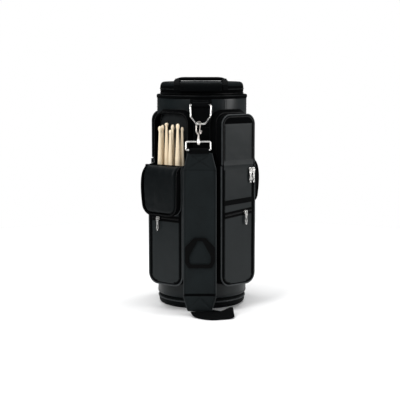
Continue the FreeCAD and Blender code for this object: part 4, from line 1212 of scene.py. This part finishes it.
def make_ring_tab():
    """Webbing folded round the ring's top bar and sewn to the spine."""
    middle = 3.75
    route = [(-121.4, 538.8), (-122.6, 535.0), (-126.0, 531.4)]
    route += [(RING_Y + middle * math.cos(a), RING_Z + middle * math.sin(a))
              for a in (math.radians(d) for d in (160, 185, 210, 235, 260, 285, 310))]
    tab = ribbon("ring_tab_fold", strap_stations(-25.5, 19.5, route), 2.2, [STRAP], 5)
    settle(tab, "bag", ["ring_tab"])
    stitches = [([Vector((x, y, z)) for x in spread(-23, 17, 10)], (0, -1, 0.5))
                for y, z in ((-122.5, 537.6), (-125.9, 533.2))]
    sew("ring_tab_stitches", stitches, "bag", 0.2, THREAD, (2.4, 0.7, 0.5), 3.6)


def make_strap_fold():
    """Webbing folded round the swivel loop's lower bar and led into the pad."""
    centre = lean(0, 0, 116)
    middle = 3.9
    route = [(-154.8, 407.0), (-154.6, 411.0)]
    route += [(centre.y - middle * math.cos(a), centre.z + middle * math.sin(a))
              for a in (math.radians(d) for d in (180, 150, 120, 90, 60, 30, 0))]
    route += [(-158.9, 411.0), (-158.6, 407.0)]
    fold = ribbon("strap_fold_webbing", strap_stations(-32, 18, route), 2.4, [STRAP_X], 5)
    settle(fold, "strap", ["strap_fold"])


def pad_point(x, forward, down):
    """A point of the shoulder pad, `down` its length from the top."""
    run = Vector((0, PAD_BOTTOM[0] - PAD_TOP[0], PAD_BOTTOM[1] - PAD_TOP[1])).normalized()
    out = Vector((0, run.z, -run.y))
    if out.y > 0:
        out = -out
    return Vector((PAD_X + x, PAD_TOP[0], PAD_TOP[1])) + run * down + out * forward


def pad_half(down):
    """Half the pad's width, `down` its length from the top."""
    if down < PAD_TAPER_TOP:
        return PAD_END_HALF + (PAD_HALF - PAD_END_HALF) * down / PAD_TAPER_TOP
    rest = PAD_LENGTH - down
    if rest < PAD_TAPER_BOTTOM:
        return PAD_END_HALF + (PAD_HALF - PAD_END_HALF) * rest / PAD_TAPER_BOTTOM
    return PAD_HALF


def pad_seams():
    """Sewn lines of the pad: across, a crossed box at the top and an inverted V at the bottom."""
    top = PAD_TAPER_TOP + 1.0
    low = PAD_LOW_SEAM
    tip = PAD_LENGTH - 5
    return [
        [(-39, top), (39, top)], [(-26, 4), (26, 4)],
        [(-21, 8), (30, top - 4)], [(21, 8), (-30, top - 4)], [(-21, 8), (21, 8)],
        [(-40, low), (40, low)], [(-30, tip), (0, low + 7)], [(0, low + 7), (30, tip)],
    ]


def seam_distance(x, down, line):
    """Distance from a point of the pad to a sewn line."""
    (x0, d0), (x1, d1) = line
    run = Vector((x1 - x0, d1 - d0))
    t = clamp(Vector((x - x0, down - d0)).dot(run) / run.length_squared)
    return math.hypot(x - x0 - run.x * t, down - d0 - run.y * t)


def make_pad():
    """Shoulder pad with sewn grooves, a black band across its foot and a bound edge."""
    seams = pad_seams()
    downs = spread(0.6, PAD_LENGTH - 0.6, 190)
    front = []
    back = []
    for down in downs:
        half = pad_half(down) - 1.6
        upper = []
        lower = []
        for t in spread(-1, 1, 45):
            x = t * half
            edge = min((1 - abs(t)) * half, down, PAD_LENGTH - down)
            swell = 1 - math.exp(-edge / 4.0)
            groove = max(math.exp(-(seam_distance(x, down, line) / 2.0) ** 2) for line in seams)
            deep = 1.4 * math.exp(-((down - PAD_LOW_SEAM) / 2.6) ** 2)
            soft = 0.35 * wave((x, down * 0.8, 0), 36, 12)
            height = 1.6 + 2.8 * swell - 1.3 * groove * swell - deep * swell + soft * swell
            upper.append(pad_point(x, height, down))
            lower.append(pad_point(x, -(1.6 + 2.4 * swell), down))
        front.append(upper)
        back.append(lower)

    def cloth_of(row, column):
        middle = (downs[row] + downs[row + 1]) / 2
        return 1 if abs(middle - PAD_LOW_SEAM) < 3.4 else 0

    pad = slab("shoulder_pad_soft", front, back, [PAD, NYLON], choose=cloth_of)
    settle(pad, "strap", ["shoulder_pad"])
    taper = PAD_LENGTH - PAD_TAPER_BOTTOM
    corners = [(-PAD_END_HALF, 0.0), (PAD_END_HALF, 0.0), (PAD_HALF, PAD_TAPER_TOP), (PAD_HALF, taper),
               (PAD_END_HALF, PAD_LENGTH), (-PAD_END_HALF, PAD_LENGTH), (-PAD_HALF, taper),
               (-PAD_HALF, PAD_TAPER_TOP)]
    loop = []
    for index, (x, down) in enumerate(corners):
        after = corners[(index + 1) % len(corners)]
        for t in spread(0.06, 0.94, 14):
            edge_x = x + (after[0] - x) * t
            edge_down = min(max(down + (after[1] - down) * t, 1.7), PAD_LENGTH - 1.7)
            loop.append(pad_point(edge_x - math.copysign(1.7, edge_x), 0.0, edge_down))
    pipe("shoulder_pad_binding", loop, 1.75, PIPING_PAD, "strap", closed=True)
    out = pad_point(0, 1, 0) - pad_point(0, 0, 0)
    stitched = [([pad_point(x0 + (x1 - x0) * t, 3.4, d0 + (d1 - d0) * t) for t in spread(0, 1, 12)], out)
                for (x0, d0), (x1, d1) in seams]
    for side in (-1, 1):
        edge = [pad_point(side * (pad_half(down) - 5.2), 3.5, down) for down in spread(3, PAD_LENGTH - 3, 60)]
        stitched.append((edge, out))
    sew("shoulder_pad_stitches", stitched, "strap", size=(2.8, 0.8, 0.6), pitch=4.2)


def make_lower_webbing():
    """Webbing from the pad along the floor, folded back on itself and up to the foot of the spine."""
    edges = [
        ((-29, -188, 10), (21, -188, 10)), ((-22, -209, 5), (26, -193, 9)), ((-6, -226, 3), (30, -194, 10)),
        ((12, -237, 2), (35, -194, 11)), ((30, -241, 2), (42, -193, 12)), ((52, -236, 2), (56, -188, 15)),
        ((70, -229, 2.2), (69, -183, 20)), ((80, -221, 4.6), (78, -176, 18)),
        ((77, -211, 3.2), (73, -164, 4)),
        ((54, -206, 2), (66, -158, 2)), ((24, -188, 2), (53, -148, 2)), ((-8, -160, 2), (35, -135, 2)),
        ((-24, -130, 3.4), (26, -130, 3.4)), ((-28, -122.9, 12), (22, -122.9, 12)),
        ((-28, -122.4, 42), (22, -122.4, 42)),
    ]
    stations = [(Vector(left), Vector(right)) for left, right in edges]
    band = ribbon("lower_webbing_soft", stations, 2.4, [STRAP], 8, 21)
    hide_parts("lower_webbing")
    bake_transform(band)


# ---------------------------------------------------------------- pieces that keep their CAD shape

def dress(name, material, bevel=0.0):
    """Material and soft edges for a CAD node that is shown."""
    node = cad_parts[name]
    node.data.materials.clear()
    node.data.materials.append(material)
    if bevel:
        modifier = node.modifiers.new("edges", "BEVEL")
        modifier.width = bevel * MM
        modifier.segments = 2
        modifier.limit_method = "ANGLE"
        modifier.angle_limit = math.radians(35)


def dress_cad_pieces():
    """Hardware, sticks, base board and foam: the pieces shown with their CAD shape."""
    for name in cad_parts:
        if name.endswith("_slider") or name.endswith("_pull"):
            dress(name, NICKEL, 0.25)
        elif name.startswith("stick_"):
            dress(name, WOOD)
    for name in ("strap_ring", "swivel_loop"):
        dress(name, NICKEL)
    for name in ("snap_hook", "hook_gate"):
        dress(name, NICKEL_WARM)
    dress("pad_loop", MOULDED, 1.3)
    dress("base_board", BOARD)
    dress("base_foam", FOAM)


# ---------------------------------------------------------------- studio

ROOM_LIGHT = 0.09
OVERHEAD = 160.0
KEY = 62.0
SIDE = 30.0
CAMERA_TILT = 7.21
CAMERA_SHIFT = -0.9 / 400


def make_world():
    """White behind the object, and a dim room in its light and reflections."""
    world = bpy.data.worlds.new("studio")
    bpy.context.scene.world = world
    world.use_nodes = True
    tree = world.node_tree
    room = tree.nodes["Background"]
    room.inputs["Color"].default_value = (0.93, 0.97, 1.0, 1)
    room.inputs["Strength"].default_value = ROOM_LIGHT
    paper = tree.nodes.new("ShaderNodeBackground")
    paper.inputs["Color"].default_value = (1, 1, 1, 1)
    paper.inputs["Strength"].default_value = 1.0
    mix = tree.nodes.new("ShaderNodeMixShader")
    path = tree.nodes.new("ShaderNodeLightPath")
    tree.links.new(path.outputs["Is Camera Ray"], mix.inputs["Fac"])
    tree.links.new(room.outputs[0], mix.inputs[1])
    tree.links.new(paper.outputs[0], mix.inputs[2])
    tree.links.new(mix.outputs[0], tree.nodes["World Output"].inputs["Surface"])


def add_area(name, place, target, size, power):
    """Rectangular lamp at a place, aimed at a target."""
    light = bpy.data.lights.new(name, "AREA")
    light.shape = "RECTANGLE"
    light.size, light.size_y = size
    light.energy = power
    holder = bpy.data.objects.new(name, light)
    bpy.context.collection.objects.link(holder)
    holder.location = place
    holder.rotation_euler = (Vector(target) - Vector(place)).to_track_quat("-Z", "Y").to_euler()


def make_studio():
    """Floor, lights and camera."""
    bpy.ops.mesh.primitive_circle_add(vertices=96, radius=1.45, fill_type="NGON")
    floor = bpy.context.object
    floor.name = "floor"
    floor.data.materials.append(floor_material())
    make_world()
    add_area("overhead", (0, 0.4, 3.4), (0, 0.2, 0), (3.6, 3.6), OVERHEAD)
    add_area("key", (-1.6, -2.4, 2.0), (0, 0, 0.35), (1.2, 1.2), KEY)
    add_area("side", (2.6, -0.7, 1.0), (0, 0, 0.35), (1.0, 1.6), SIDE)
    scene = bpy.context.scene
    scene.view_settings.view_transform = "Standard"
    camera = bpy.data.cameras.new("camera")
    camera.lens = 101.5
    camera.sensor_width = 36
    camera.shift_x = CAMERA_SHIFT
    holder = bpy.data.objects.new("camera", camera)
    bpy.context.collection.objects.link(holder)
    holder.location = (-0.0024, -2.970, 0.646)
    holder.rotation_euler = (math.radians(90 - CAMERA_TILT), 0, 0)
    scene.camera = holder


make_tube()
make_tube_seams()
make_base()
make_ring_piping()
make_rim_zip()
make_bindings()
make_lid()
make_lid_hinge()
for pocket, pocket_turn in TURNS.items():
    make_lower_pocket(pocket, pocket_turn)
    make_upper_gusset(pocket, pocket_turn)
    make_pocket_back(pocket, pocket_turn)
    make_flap(pocket, pocket_turn)
make_lower_zips()
make_handle_straps()
make_patches()
make_front_grip()
make_rear_grip()
make_spine()
make_ring_tab()
make_strap_fold()
make_pad()
make_lower_webbing()
dress_cad_pieces()
make_studio()
